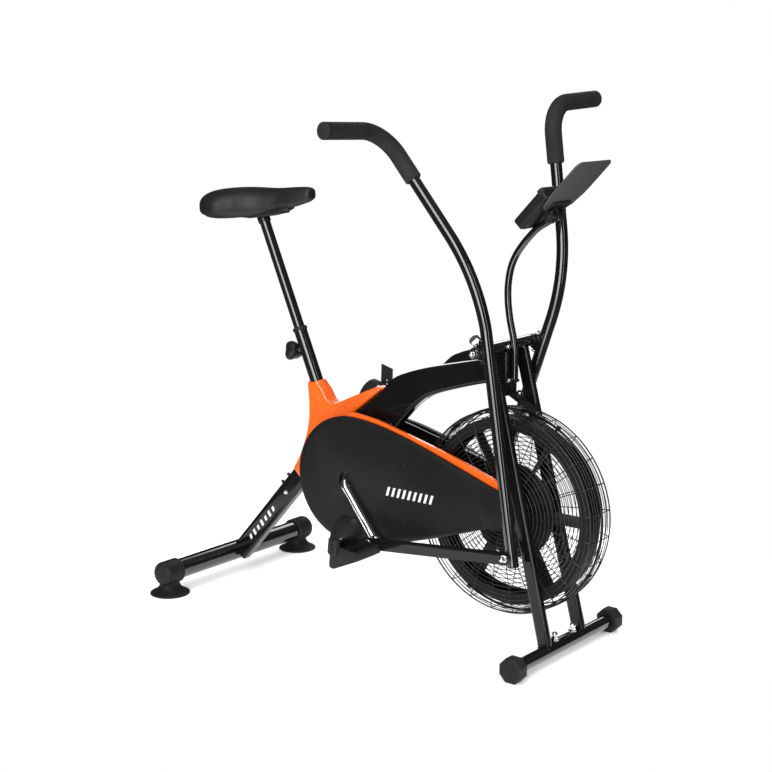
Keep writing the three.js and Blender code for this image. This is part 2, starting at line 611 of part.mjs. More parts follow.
// ---- saddle and its post ----
function seatTube() {
  const tube = rod(onSeat(SLEEVE_BOTTOM), onSeat(SLEEVE_TOP), SLEEVE_R, 24);
  const boss = rod(onSeat(KNOB_AT, 8), onSeat(KNOB_AT, 27), 9, 16);
  const inside = rod(onSeat(SLEEVE_BOTTOM - 5), onSeat(SLEEVE_TOP + 5), POST_R + 0.6, 24);
  const pinHole = rod(onSeat(KNOB_AT, 5), onSeat(KNOB_AT, 40), 4.3, 12);
  add("seat_tube", cut(join(tube, boss), inside, pinHole), BLACK_PAINT);
  add("seat_bush", hollow(onSeat(SLEEVE_TOP + GAP), onSeat(SLEEVE_TOP + 9), 18.5, POST_R + 0.6, 24), PLASTIC);
}

function seatPost() {
  const hole = (t) => rod(onSeat(t, 5), onSeat(t, 20), 4.3, 6);
  const holes = Array.from({ length: 6 }, (_, i) => hole(71 + 25 * i));
  const tube = hollow(onSeat(POST_BOTTOM), onSeat(POST_TOP), POST_R, POST_R - 2, 20);
  add("seat_post", cut(tube, ...holes), BLACK_PAINT);
}

function seatKnob() {
  const stem = rod(onSeat(KNOB_AT, 15.2), onSeat(KNOB_AT, 34), 3.6, 12);
  const hub = rod(onSeat(KNOB_AT, 28), onSeat(KNOB_AT, 56), 13, 18);
  const lobes = [90, 210, 330].map((deg) => {
    const out = at(0, 1, 0).applyAxisAngle(seatBack, rad(deg));
    const lobe = (back) => onSeat(KNOB_AT, back).addScaledVector(out, 15);
    return rod(lobe(29), lobe(54), 13, 16);
  });
  add("seat_knob", join(stem, hub, ...lobes), PLASTIC);
}

const SADDLE_BACK = -930;
const SADDLE_NOSE = -601;

function saddle() {
  // Half width, and the heights of the top and the bottom, against the way from tail (0) to nose (1).
  const widths = [[0, 88], [0.12, 116], [0.3, 116], [0.5, 61], [0.7, 33.5], [0.88, 27], [1, 22]];
  const half = new THREE.SplineCurve(widths.map((p) => new THREE.Vector2(...p)));
  const g = new THREE.SphereGeometry(1, 18, 18).rotateZ(-Math.PI / 2);
  const p = g.attributes.position;
  for (let i = 0; i < p.count; i++) {
    const way = (p.getX(i) + 1) / 2;
    const cap = Math.sqrt(Math.max(0, 1 - p.getX(i) ** 2));
    const unit = cap > 1e-6 ? 1 / cap : 0;
    const round = cap ** 0.4;
    const width = half.getPoint(Math.min(1, Math.max(0, way))).y;
    const y = p.getY(i) * unit * width * round;
    const up = p.getZ(i) * unit * round;
    const middle = 978 + 38 * way + 1.4 * Math.cos(way * 9);
    const thick = 46.6 - 23.7 * way;
    p.setXYZ(i, SADDLE_BACK + way * (SADDLE_NOSE - SADDLE_BACK), y, middle + up * thick);
  }
  add("saddle", toGeometry(toSolid(g)), RUBBER);
  const collar = rod(onSeat(POST_TOP - 22), onSeat(POST_TOP + 6), POST_R + 5, 20);
  const rail = plate(polygon([[-800, 942], [-690, 965], [-692, 973], [-802, 950]]), -16, 16, 1, 1);
  const bore = rod(onSeat(POST_TOP - 30), onSeat(POST_TOP + GAP), POST_R + GAP, 24);
  add("saddle_clamp", cut(join(collar, rail), bore), BLACK_PAINT);
}

// ---- console ----
const tilt = rad(CONSOLE_TILT);
const slope = at(Math.cos(tilt), 0, Math.sin(tilt)); // up the console's back
const facing = at(-Math.sin(tilt), 0, Math.cos(tilt)); // towards the rider

// A box in the console's tilted frame: along the slope, across, and out towards the rider.
function consoleBox(s0, s1, half, n0, n1, radius = 4) {
  const shape = roundedRect(s1 - s0, 2 * half, radius);
  const g = new THREE.ExtrudeGeometry(shape, { depth: n1 - n0, bevelEnabled: false, curveSegments: 2 });
  return onConsole(g.translate((s0 + s1) / 2, 0, n0));
}

function onConsole(geometry) {
  const frame = new THREE.Matrix4().makeBasis(slope, at(0, 1, 0), facing);
  return geometry.applyMatrix4(frame.setPosition(CONSOLE_X, 0, CONSOLE_Z));
}

function consolePost() {
  const route = [
    [0.6, 626],
    [0.6, 665],
    [0, 695],
    [-4, 722],
    [-14, 764],
    [-20, 808],
    [-19, 850],
    [-9, 892],
    [14, 930],
    [52, 970],
    [84, 990],
    [CONSOLE_X, CONSOLE_Z],
  ];
  const tube = pipe(route.map(([x, z]) => at(x, 0, z)), 8, 10);
  add("console_post", join(tube, pin(CONSOLE_X, CONSOLE_Z, -12, 12, 10.4, 16)), BLACK_PAINT);
}

function displayUnit() {
  const ears = SIDES.map(([, side]) => pin(CONSOLE_X, CONSOLE_Z, side * 12.5, side * 17, 12, 16));
  const web = new THREE.BoxGeometry(24, 4.5, 13);
  const webs = SIDES.map(([, side]) => onConsole(web.clone().translate(4, side * 14.75, 6)));
  const star = [0, 1, 2].map((i) => {
    const arms = new THREE.BoxGeometry(30, 12, 9).rotateY((i / 3) * Math.PI);
    return arms.translate(CONSOLE_X, -32, CONSOLE_Z);
  });
  const stem = pin(CONSOLE_X, CONSOLE_Z, -16, -30, 7, 12);
  const back = consoleBox(-3, 32, 36, 11, 14.1);
  add("console_bracket", join(...ears, ...webs, back, stem, ...star), PLASTIC);
  add("tablet_plate", consoleBox(4, 151, 70, 14.5, 18, 18), PLASTIC);
  const shell = join(consoleBox(-72, 33, 45, 27.4, 54, 7), consoleBox(-2, 30, 34, 18.4, 30));
  const window = consoleBox(-30, 22, 32, 51, 60, 3);
  const well = consoleBox(-60, -44, 10, 49, 60, 5);
  add("console_case", cut(shell, window, well), PLASTIC);
  add("console_lens", consoleBox(-29.5, 21.5, 31.5, 51.4, 53.4, 3), GLASS);
  add("mode_button", consoleBox(-59, -45, 9, 50.5, 56, 4.5), PLASTIC);
}

mainFrame();
bottomBracket();
topTube();
head();
fork();
stay("right_stay", -1, 0, ORANGE);
stay("left_stay", 1, 28, BLACK_PAINT);
frontStabilizer();
rearEnd();
cover("right_chain_cover", -1, 0);
cover("left_chain_cover", 1, 17);
chain();
crank();
chainring();
pedal("right", -1, 6, [[-44, 24], [-44, -12], [-38, -17], [-24, -17], [-18, -12], [-16, 24]]);
pedal("left", 1, 15, [[-36, -4], [4, -4], [-18, 86], [-56, 86]]);
SIDES.forEach(([name, side]) => handle(name, side));
SIDES.forEach(([name, side]) => link(name, side));
fan();
SIDES.forEach(([name, side]) => guard(name, side));
guardRing();
seatTube();
seatPost();
seatKnob();
saddle();
consolePost();
displayUnit();

export default bike;
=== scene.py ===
"""An air bike's looks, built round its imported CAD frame.

Shapes are made in millimetres from the fan axle's centre line and turned into the frame's metres at the end.
+X points towards the fan, +Y to the rider's left and +Z up.
"""
from math import acos, atan2, cos, hypot, pi, radians, sin, tan

import bmesh
import bpy
from mathutils import Matrix, Vector

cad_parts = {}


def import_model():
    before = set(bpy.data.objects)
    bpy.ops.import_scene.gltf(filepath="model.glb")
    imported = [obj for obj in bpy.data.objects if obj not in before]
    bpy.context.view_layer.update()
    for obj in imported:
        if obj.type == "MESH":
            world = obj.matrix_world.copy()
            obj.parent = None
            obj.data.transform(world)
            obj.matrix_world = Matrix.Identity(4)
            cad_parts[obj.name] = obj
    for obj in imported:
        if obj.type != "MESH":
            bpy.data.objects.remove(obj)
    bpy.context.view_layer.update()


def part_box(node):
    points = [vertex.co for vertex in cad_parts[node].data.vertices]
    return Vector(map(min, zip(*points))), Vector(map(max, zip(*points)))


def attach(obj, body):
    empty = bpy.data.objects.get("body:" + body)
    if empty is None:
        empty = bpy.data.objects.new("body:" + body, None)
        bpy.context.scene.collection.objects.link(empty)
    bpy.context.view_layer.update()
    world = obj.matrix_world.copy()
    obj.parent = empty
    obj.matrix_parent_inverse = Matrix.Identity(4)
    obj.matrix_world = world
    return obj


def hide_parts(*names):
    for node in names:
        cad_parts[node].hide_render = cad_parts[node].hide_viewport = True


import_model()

MM = 0.001
fan_low, fan_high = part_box("fan_axle")
FAN_X = (fan_low.x + fan_high.x) / 2 / MM
FAN_Z = (fan_low.z + fan_high.z) / 2 / MM
SIDES = (("right", -1), ("left", 1))

# ---- driving dimensions, in millimetres ----
GUARD_R, GUARD_HALF, GUARD_FACE = 238, 41.5, 50
CRANK_X, CRANK_Z, CRANK_LENGTH, CRANK_Y, CRANK_R = -430, 339, 165, 99, 9.5
CRANK_DROP = radians(52)
SPINDLE_R, RING_R = 6, 3.2
CHAIN_Y, CHAINRING_R, SPROCKET_R = 72, 78, 18
PIVOT_X, PIVOT_Z = -24, 702
HANDLE_Y, HANDLE_R, HANDLE_AHEAD, HANDLE_BELOW = 111, 13.5, 29, 484
HANDLE_NEUTRAL, HANDLE_REST = radians(5.4), radians(14)
GRIP_FROM, GRIP_BEND = 145, 77
LINK_Y, LINK_THICK, LINK_HALF = 128.5, 5, 15
SEAT_X, SEAT_Z, SEAT_LEAN = -592, 549, radians(23.3)
POST_R, SLEEVE_R, SLEEVE_TOP, SLEEVE_BOTTOM = 13.5, 16.5, 137, -125
POST_TOP, POST_BOTTOM, KNOB_AT = 437, 24, 96
TUBE_WALL = 2.5
REAR_X, REAR_Z, REAR_R, REAR_HALF = -885, 57, 25.4, 262
FRONT_X, FRONT_Z, FRONT_R, FRONT_HALF = 144, 28, 16, 205
LEG_TOP, LEG_FOOT = Vector((-22, 62.6, 687)), Vector((140, 72, 44))
COVER_R, COVER_FACE, COVER_BACK, COVER_WALL = 156, 86, 68, 2.5
STAY_IN, STAY_OUT = 54, 66
CONSOLE_X, CONSOLE_Z, CONSOLE_TILT = 108, 1004, radians(46)

X, Y, Z = Vector((1, 0, 0)), Vector((0, 1, 0)), Vector((0, 0, 1))


def at(x, y, z):
    return Vector((x, y, z))


# ---- curves ----
def curve(points, per=8):
    """A smooth line through the points, with `per` steps between each pair."""
    pts = [Vector(p) for p in points]
    pts = [2 * pts[0] - pts[1], *pts, 2 * pts[-1] - pts[-2]]
    line = []
    for a, b, c, d in zip(pts, pts[1:], pts[2:], pts[3:]):
        for i in range(per):
            t = i / per
            bend = (2 * a - 5 * b + 4 * c - d) * t**2 + (3 * b - a - 3 * c + d) * t**3
            line.append(0.5 * (2 * b + (c - a) * t + bend))
    return [*line, pts[-2]]


def rounded(points, radius, steps=8):
    """Straight runs joined by arcs of about that radius."""
    pts = [Vector(p) for p in points]
    line = [pts[0]]
    for a, b, c in zip(pts, pts[1:], pts[2:]):
        u, v = (a - b).normalized(), (c - b).normalized()
        half = u.angle(v) / 2
        back = min(radius / tan(half), (a - b).length * 0.49, (c - b).length * 0.49)
        centre = b + (u + v).normalized() * (back / cos(half))
        p, q = b + u * back - centre, b + v * back - centre
        turn = p.rotation_difference(q)
        for i in range(steps + 1):
            line.append(centre + Matrix.Rotation(turn.angle * i / steps, 3, turn.axis) @ p)
    return [*line, pts[-1]]


def flat(points, per=8):
    """A smooth line through x, z pairs."""
    return [(p.x, p.z) for p in curve([(x, 0, z) for x, z in points], per)]


def arc(cx, cz, radius, start, end, steps=24):
    """Points round an arc, angles in degrees from +X towards +Z."""
    turns = [radians(start + (end - start) * i / steps) for i in range(steps + 1)]
    return [(cx + radius * cos(t), cz + radius * sin(t)) for t in turns]


def circle(radius, sides, turn=0.0):
    """Points round a circle, the first one `turn` of a step past +X."""
    angles = [(i + turn) / sides * 2 * pi for i in range(sides)]
    return [(radius * cos(a), radius * sin(a)) for a in angles]


def regular(sides, flats):
    """A regular outline, given the distance across its flats."""
    return circle(flats / 2 / cos(pi / sides), sides, 0.5)


def toothed(x, z, teeth, radii):
    """An outline whose radius runs through the given ones at each tooth."""
    n = len(radii)
    spots = enumerate(circle(1, teeth * n))
    return [(x + radii[i % n] * c, z + radii[i % n] * s) for i, (c, s) in spots]


def oval(a, b, power=2.0, sides=32):
    """A rounded closed outline with half sizes a and b; a higher power is squarer."""
    points = []
    for c, s in circle(1, sides):
        k = (abs(c) ** power + abs(s) ** power) ** (-1 / power)
        points.append((a * k * c, b * k * s))
    return points


def rectangle(w, h, r, steps=6):
    points = []
    for cx, cy, start in ((1, 1, 0), (-1, 1, 90), (-1, -1, 180), (1, -1, 270)):
        points += arc(cx * (w / 2 - r), cy * (h / 2 - r), r, start, start + 90, steps)
    return points


def pipe(inner, outer, length, chamfer=0.6):
    """A pipe's wall as (radius, height) pairs, its outer rims chamfered."""
    low = [(inner, 0), (outer - chamfer, 0), (outer, chamfer)]
    return low + [(r, length - h) for r, h in reversed(low)]


def wall(inner, outer, length):
    return [(inner, 0), (outer, 0), (outer, length), (inner, length)]


def basis(d, up):
    """Two directions square to d, the second as near to `up` as it can be."""
    d = d.normalized()
    across = up.cross(d)
    if across.length < 1e-6:
        across = X.cross(d)
    across.normalize()
    return across, d.cross(across)


def upright(axis):
    """The direction that counts as up round an axis."""
    return Z if abs(axis.normalized().z) < 0.9 else X


# ---- solids ----
class Piece:
    """One visible piece, gathered from closed solids in millimetres."""

    def __init__(self):
        self.bm = bmesh.new()

    def loft(self, rings, closed=False, caps=True):
        bm, n, m = self.bm, len(rings[0]), len(rings)
        verts = [[bm.verts.new(p) for p in ring] for ring in rings]
        faces = []
        for i in range(m if closed else m - 1):
            a, b = verts[i], verts[(i + 1) % m]
            faces += [bm.faces.new((a[j], a[(j + 1) % n], b[(j + 1) % n], b[j])) for j in range(n)]
        if caps and not closed:
            faces += [bm.faces.new(verts[0][::-1]), bm.faces.new(verts[-1])]
        bmesh.ops.recalc_face_normals(bm, faces=faces)
        return self

    def tube(self, points, radius, sides=28, section=None, up=Y, ends=0.0):
        """A bar, round or of the given section, along a line, both ends rounded off by `ends`."""
        pts = [Vector(p) for p in points]
        last = len(pts) - 1
        radii = list(radius) if hasattr(radius, "__len__") else [radius] * len(pts)
        unit = section or oval(1, 1, 2, sides)
        across, rise = basis(pts[1] - pts[0], up)
        rings = []
        for i, p in enumerate(pts):
            d = (pts[min(i + 1, last)] - pts[max(i - 1, 0)]).normalized()
            across = (across - d * across.dot(d)).normalized()
            rise = d.cross(across)
            ring = [across * u + rise * v for u, v in unit]
            k = radii[i] if section is None else 1
            if ends and i in (0, last):
                out = -d if i == 0 else d
                rows = [(sin(t), cos(t)) for t in (radians(a) for a in (0, 20, 40, 60, 78))]
                full = max(r.length for r in ring) * k
                tips = []
                for s, c in rows:
                    shrink = k * (1 - ends / full * (1 - c))
                    tips.append([p + out * (ends * (s - 1)) + r * shrink for r in ring])
                rings += tips[::-1] if i == 0 else tips
            else:
                rings.append([p + r * k for r in ring])
        return self.loft(rings)

    def rod(self, a, b, radius, sides=32, chamfer=0.6):
        a, b = Vector(a), Vector(b)
        h = (b - a).length
        c = min(chamfer, radius * 0.5, h * 0.4)
        return self.turned([(radius - c, 0), (radius, c), (radius, h - c), (radius - c, h)], a, b - a, sides)

    def turned(self, profile, origin, axis, sides=48, closed=False):
        """A solid of revolution from (radius, height) pairs."""
        along = Vector(axis).normalized()
        across, rise = basis(along, upright(along))
        turns = [2 * pi * i / sides for i in range(sides)]
        dirs = [across * cos(t) + rise * sin(t) for t in turns]
        rings = [[origin + along * h + d * max(r, 0.02) for d in dirs] for r, h in profile]
        return self.loft(rings, closed=closed)

    def hoop(self, radius, wire, centre, axis, steps=96, sides=8):
        loop = [(radius + u, v) for u, v in circle(wire, sides)]
        return self.turned(loop, centre, axis, steps, closed=True)

    def prism(self, outline, origin, axis, depth, bevel=0.0, up=Z, segments=3):
        """A flat outline pushed `depth` along the axis, its two rims rounded by `bevel`."""
        across, rise = basis(Vector(axis), up)
        step = Vector(axis).normalized() * depth
        bm = bmesh.new()
        low = [bm.verts.new(origin + across * u + rise * v) for u, v in outline]
        high = [bm.verts.new(v.co + step) for v in low]
        n = len(low)
        rims = [bm.faces.new(low[::-1]), bm.faces.new(high)]
        for j in range(n):
            bm.faces.new((low[j], low[(j + 1) % n], high[(j + 1) % n], high[j]))
        bmesh.ops.recalc_face_normals(bm, faces=bm.faces)
        if bevel:
            edges = [e for f in rims for e in f.edges]
            look = {"segments": segments, "profile": 0.5, "affect": "EDGES", "clamp_overlap": True}
            bmesh.ops.bevel(bm, geom=edges, offset=bevel, **look)
        self.merge(bm)
        return self

    def plate(self, outline, y0, y1, bevel=0.0, segments=3):
        """A plate whose outline is drawn in x, z, between two y values."""
        low = min(y0, y1)
        flipped = [(-x, z) for x, z in outline]
        return self.prism(flipped, at(0, low, 0), Y, abs(y1 - y0), bevel, Z, segments)

    def hexagon(self, centre, axis, flats, height, bevel=0.8):
        return self.prism(regular(6, flats), centre, axis, height, bevel, upright(Vector(axis)), 2)

    def merge(self, bm):
        mesh = bpy.data.meshes.new("part")
        bm.to_mesh(mesh)
        bm.free()
        self.bm.from_mesh(mesh)
        bpy.data.meshes.remove(mesh)

    def turn(self, angle, axis):
        bmesh.ops.transform(self.bm, matrix=Matrix.Rotation(angle, 4, axis), verts=self.bm.verts)
        return self

    def shift(self, offset):
        bmesh.ops.translate(self.bm, vec=offset, verts=self.bm.verts)
        return self

    def through(self, *steps):
        """Runs the solid through modifiers, each given by a function that adds one to an object."""
        mesh = bpy.data.meshes.new("work")
        self.bm.to_mesh(mesh)
        obj = bpy.data.objects.new("work", mesh)
        bpy.context.scene.collection.objects.link(obj)
        others = [step(obj) for step in steps]
        bpy.context.view_layer.update()
        made = bpy.data.meshes.new_from_object(obj.evaluated_get(bpy.context.evaluated_depsgraph_get()))
        for other in [obj, *filter(None, others)]:
            bpy.data.objects.remove(other)
        self.bm.free()
        self.bm = bmesh.new()
        self.bm.from_mesh(made)
        bpy.data.meshes.remove(made)
        return self

    def cut(self, *tools, operation="DIFFERENCE"):
        def knife(tool):
            def step(obj):
                mesh = bpy.data.meshes.new("tool")
                tool.bm.to_mesh(mesh)
                tool.bm.free()
                other = bpy.data.objects.new("tool", mesh)
                bpy.context.scene.collection.objects.link(other)
                other.hide_render = True
                mod = obj.modifiers.new("cut", "BOOLEAN")
                mod.object, mod.operation, mod.solver, mod.use_self = other, operation, "EXACT", True
                return other

            return step

        return self.through(*[knife(tool) for tool in tools])

    def weld(self, voxel, smooth=6):
        """Melts the gathered solids into one skin with soft joints."""

        def remesh(obj):
            mod = obj.modifiers.new("skin", "REMESH")
            mod.mode, mod.voxel_size = "VOXEL", voxel

        def relax(obj):
            mod = obj.modifiers.new("relax", "SMOOTH")
            mod.factor, mod.iterations = 0.6, smooth

        return self.through(remesh, relax)

    def done(self, name, body, look, sharp=35, extra=False):
        """Makes the object. It stands in for the CAD node of its name, unless it is an extra."""
        bm = self.bm
        for v in bm.verts:
            v.co = at((v.co.x + FAN_X) * MM, v.co.y * MM, v.co.z * MM)
        bmesh.ops.remove_doubles(bm, verts=bm.verts, dist=2e-6)
        mesh = bpy.data.meshes.new(name)
        bm.to_mesh(mesh)
        bm.free()
        mesh.polygons.foreach_set("use_smooth", [True] * len(mesh.polygons))
        mesh.set_sharp_from_angle(angle=radians(sharp))
        obj = bpy.data.objects.new(name, mesh)
        bpy.context.scene.collection.objects.link(obj)
        material, slot = look
        mesh.materials.append(material)
        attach(obj, body)
        if not extra:
            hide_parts(name)
        return obj


def pin(piece, x, z, y0, y1, radius, sides=32, chamfer=0.6):
    return piece.rod(at(x, y0, z), at(x, y1, z), radius, sides, chamfer)


def acorn(piece, seat, axis, flats=15.0, size=1.0):
    """A washer, a hexagon nut and its domed cap."""
    d = Vector(axis).normalized()
    piece.turned([(9.5 * size, 0), (10 * size, 0.4), (10 * size, 1.4), (9.5 * size, 1.8)], seat, d, 32)
    piece.hexagon(seat + d * 1.8, d, flats * size, 7 * size)
    dome = [(6.6, 0), (6.9, 1), (6.7, 4), (5.6, 6.6), (3.4, 8.4), (0.6, 9.2)]
    return piece.turned([(r * size, h * size) for r, h in dome], seat + d * (1.8 + 6.4 * size), d, 32)


def bolt_head(piece, seat, axis, radius=7.0, height=4.0):
    """A round head with a shallow round dip in its top."""
    d = Vector(axis).normalized()
    k = radius / 7
    flange = [(8.4 * k, 0), (8.4 * k, 1), (7 * k, 1.2)]
    dome = [(7, 0.55), (6, 0.9), (4, 1), (3.2, 1), (3, 0.35)]
    profile = [*flange, *((r * k, h * height) for r, h in dome), (0.5, height * 0.3)]
    return piece.turned(profile, seat, d, 32)


# ---- materials ----
def shader(name):
    material = bpy.data.materials.new(name)
    material.use_nodes = True
    tree = material.node_tree
    surface = tree.nodes["Principled BSDF"]
    place = tree.nodes.new("ShaderNodeTexCoord")
    return material, tree, surface, place.outputs["Object"]


def texture(tree, place, kind, scale, **values):
    node = tree.nodes.new("ShaderNodeTex" + kind)
    tree.links.new(place, node.inputs["Vector"])
    node.inputs["Scale"].default_value = scale
    for key, value in values.items():
        if key in node.inputs:
            node.inputs[key].default_value = value
        else:
            setattr(node, key, value)
    return node


def spread(tree, source, low, high, from_low=0.3, from_high=0.7):
    node = tree.nodes.new("ShaderNodeMapRange")
    tree.links.new(source, node.inputs["Value"])
    for key, value in (("From Min", from_low), ("From Max", from_high), ("To Min", low), ("To Max", high)):
        node.inputs[key].default_value = value
    return node.outputs["Result"]


def mixed(tree, share, a, b):
    node = tree.nodes.new("ShaderNodeMix")
    node.data_type = "RGBA"
    tree.links.new(share, node.inputs["Factor"])
    for socket, value in ((node.inputs["A"], a), (node.inputs["B"], b)):
        if hasattr(value, "links"):
            tree.links.new(value, socket)
        else:
            socket.default_value = (*value, 1)
    return node.outputs["Result"]


def vector_step(tree, operation, source, other=None):
    node = tree.nodes.new("ShaderNodeVectorMath")
    node.operation = operation
    tree.links.new(source, node.inputs[0])
    if other:
        node.inputs[1].default_value = other
    return node.outputs["Value" if operation == "DOT_PRODUCT" else "Vector"]


def bumps(tree, surface, layers):
    """Stacks bump layers, each (height socket, strength, depth in metres)."""
    normal = None
    for height, strength, depth in layers:
        node = tree.nodes.new("ShaderNodeBump")
        node.inputs["Strength"].default_value = strength
        node.inputs["Distance"].default_value = depth
        tree.links.new(height, node.inputs["Height"])
        if normal:
            tree.links.new(normal, node.inputs["Normal"])
        normal = node.outputs["Normal"]
    tree.links.new(normal, surface.inputs["Normal"])


def finish_look(name, dark, light, rough, grain, relief, slot=None, metal=0, coat=0, edge_highlight=0.25, shine=0.28):
    """A surface with drifting tone, uneven gloss, a grain and slightly paler edges, which are a painted
    highlight.

    dark and light are its tones, rough its roughness range, grain (kind, scale, options) and relief
    the grain's strength and depth in metres. A look without a grain has None.
    """
    material, tree, surface, place = shader(name)
    drift = texture(tree, place, "Noise", 9, Detail=4.0)
    tone = mixed(tree, spread(tree, drift.outputs["Fac"], 0, 1), dark, light)
    shape = tree.nodes.new("ShaderNodeNewGeometry")
    # Convex edges are painted paler: a painted highlight along the edges.
    edges = spread(tree, shape.outputs["Pointiness"], 0, edge_highlight, 0.51, 0.58)
    edge_highlight_tone = tuple(min(1, c * 1.5 + 0.03) for c in light)
    tree.links.new(mixed(tree, edges, tone, edge_highlight_tone), surface.inputs["Base Color"])
    mottle = texture(tree, place, "Noise", 60, Detail=6.0)
    tree.links.new(spread(tree, mottle.outputs["Fac"], *rough), surface.inputs["Roughness"])
    surface.inputs["Metallic"].default_value = metal
    surface.inputs["Coat Weight"].default_value = coat
    surface.inputs["Specular IOR Level"].default_value = shine
    surface.inputs["Coat Roughness"].default_value = 0.06
    layers = []
    if grain:
        kind, scale, options = grain
        node = texture(tree, place, kind, scale, **options)
        out = node.outputs["Distance"] if kind == "Voronoi" else node.outputs[0]
        layers.append((out, *relief))
    slow = texture(tree, place, "Noise", 35, Detail=2.0)
    layers.append((slow.outputs["Fac"], relief[0] * 0.5, 0.0003))
    bumps(tree, surface, layers)
    return material, slot or name


def cool(level, blue=0.0005):
    """A grey with a trace more blue."""
    return level, level, level + blue


PEEL = ("Noise", 300, {"Detail": 1.0})
GRAIN = ("Noise", 1900, {"Detail": 3.0})
PORES = ("Voronoi", 900, {"feature": "F1"})
HIDE = ("Voronoi", 620, {"feature": "DISTANCE_TO_EDGE"})
BRUSHED = ("Noise", 1400, {"Detail": 4.0})
JET = (0.002, 0.002, 0.0022), (0.0042, 0.0042, 0.0045)

orange = finish_look(
    "orange_paint", (0.6, 0.078, 0.003), (0.64, 0.088, 0.004), (0.18, 0.3), PEEL, (0.01, 0.0001),
    coat=0.5, edge_highlight=0.1, shine=0.5,
)
black = finish_look(
    "black_paint", *JET, (0.12, 0.18), PEEL, (0.008, 0.0001), coat=0.3, edge_highlight=0.06, shine=0.18
)
tube_paint = finish_look(
    "tube_paint", *JET, (0.1, 0.16), None, (0.002, 0), slot="black_paint", coat=0.8, edge_highlight=0.06, shine=0.4
)
wire_paint = finish_look(
    "wire_paint", cool(0.003), cool(0.006), (0.18, 0.28), PEEL, (0.02, 0.0002),
    slot="black_paint", coat=0.3, edge_highlight=0.1,
)
satin = finish_look(
    "cover_plastic", cool(0.0045), cool(0.0075), (0.36, 0.46), GRAIN, (0.12, 0.0002), edge_highlight=0.15, shine=0.14
)
plastic = finish_look(
    "black_plastic", cool(0.004), cool(0.008), (0.36, 0.5), GRAIN, (0.22, 0.00025), edge_highlight=0.2, shine=0.18
)
fan_plastic = finish_look(
    "fan_plastic", cool(0.0025), cool(0.005), (0.42, 0.56), GRAIN, (0.2, 0.00025),
    slot="black_plastic", edge_highlight=0.2, shine=0.14,
)
grey_plastic = finish_look(
    "grey_plastic", cool(0.028, 0.001), cool(0.036, 0.001), (0.5, 0.62), GRAIN, (0.3, 0.00025), edge_highlight=0.3
)
rubber = finish_look(
    "rubber", cool(0.0045), cool(0.008), (0.5, 0.66), GRAIN, (0.3, 0.0003), edge_highlight=0.2, shine=0.18
)
foam = finish_look("foam", cool(0.006), cool(0.011), (0.72, 0.86), PORES, (0.55, 0.0007), edge_highlight=0.2)
vinyl = finish_look(
    "vinyl", cool(0.0035), cool(0.007), (0.46, 0.56), HIDE, (0.2, 0.0002), edge_highlight=0.2, shine=0.3
)
chrome = finish_look(
    "chrome", (0.62, 0.63, 0.65), (0.8, 0.81, 0.83), (0.05, 0.14), BRUSHED, (0.03, 0.0001),
    metal=1, edge_highlight=0.0, shine=0.5,
)
steel = finish_look(
    "steel", (0.38, 0.39, 0.4), (0.55, 0.56, 0.57), (0.24, 0.38), BRUSHED, (0.12, 0.0002),
    metal=1, edge_highlight=0.0, shine=0.5,
)
print_grey = finish_look(
    "print_grey", cool(0.5, 0), cool(0.62, 0), (0.35, 0.5), GRAIN, (0.05, 0.0001),
    slot="cover_plastic", edge_highlight=0.0,
)


def display_look():
    """A reflective display: grey-green glass with faint rows of dark cells."""
    material, tree, surface, place = shader("screen")
    cells = texture(tree, place, "Checker", 420)
    haze = texture(tree, place, "Noise", 40, Detail=3.0)
    share = spread(tree, cells.outputs["Fac"], 0.1, 0.35, 0, 1)
    base = mixed(tree, share, (0.2, 0.23, 0.2), (0.13, 0.15, 0.135))
    tree.links.new(base, surface.inputs["Base Color"])
    tree.links.new(spread(tree, haze.outputs["Fac"], 0.05, 0.14), surface.inputs["Roughness"])
    surface.inputs["Coat Weight"].default_value = 1
    bumps(tree, surface, [(haze.outputs["Fac"], 0.02, 0.0002)])
    return material, "screen"


screen = display_look()


# ---- places worked out from the driving dimensions ----
SEAT_UP = at(-sin(SEAT_LEAN), 0, cos(SEAT_LEAN))
SEAT_BACK = at(-cos(SEAT_LEAN), 0, -sin(SEAT_LEAN))
LEG_DOWN = (LEG_FOOT - LEG_TOP).normalized()


def on_seat(t, back=0, y=0):
    return at(SEAT_X, y, SEAT_Z) + SEAT_UP * t + SEAT_BACK * back


def spindle(side, y=0):
    reach = -side * CRANK_LENGTH
    return at(CRANK_X + reach * cos(CRANK_DROP), y, CRANK_Z - reach * sin(CRANK_DROP))


# ---- main frame ----
def seam(piece, loop, wire=1.5):
    """A rippled bead of weld along a closed line."""
    n, centre = len(loop), sum(loop, Vector()) / len(loop)
    rings = []
    for i, p in enumerate(loop):
        along = (loop[(i + 1) % n] - loop[i - 1]).normalized()
        out = (p - centre) - along * (p - centre).dot(along)
        out.normalize()
        up = along.cross(out)
        w = wire * (0.85 + 0.15 * sin(i * pi / 2))
        rings.append([p + (out * cos(a) + up * sin(a)) * w for a in (2 * pi * j / 8 for j in range(8))])
    return piece.loft(rings, closed=True)


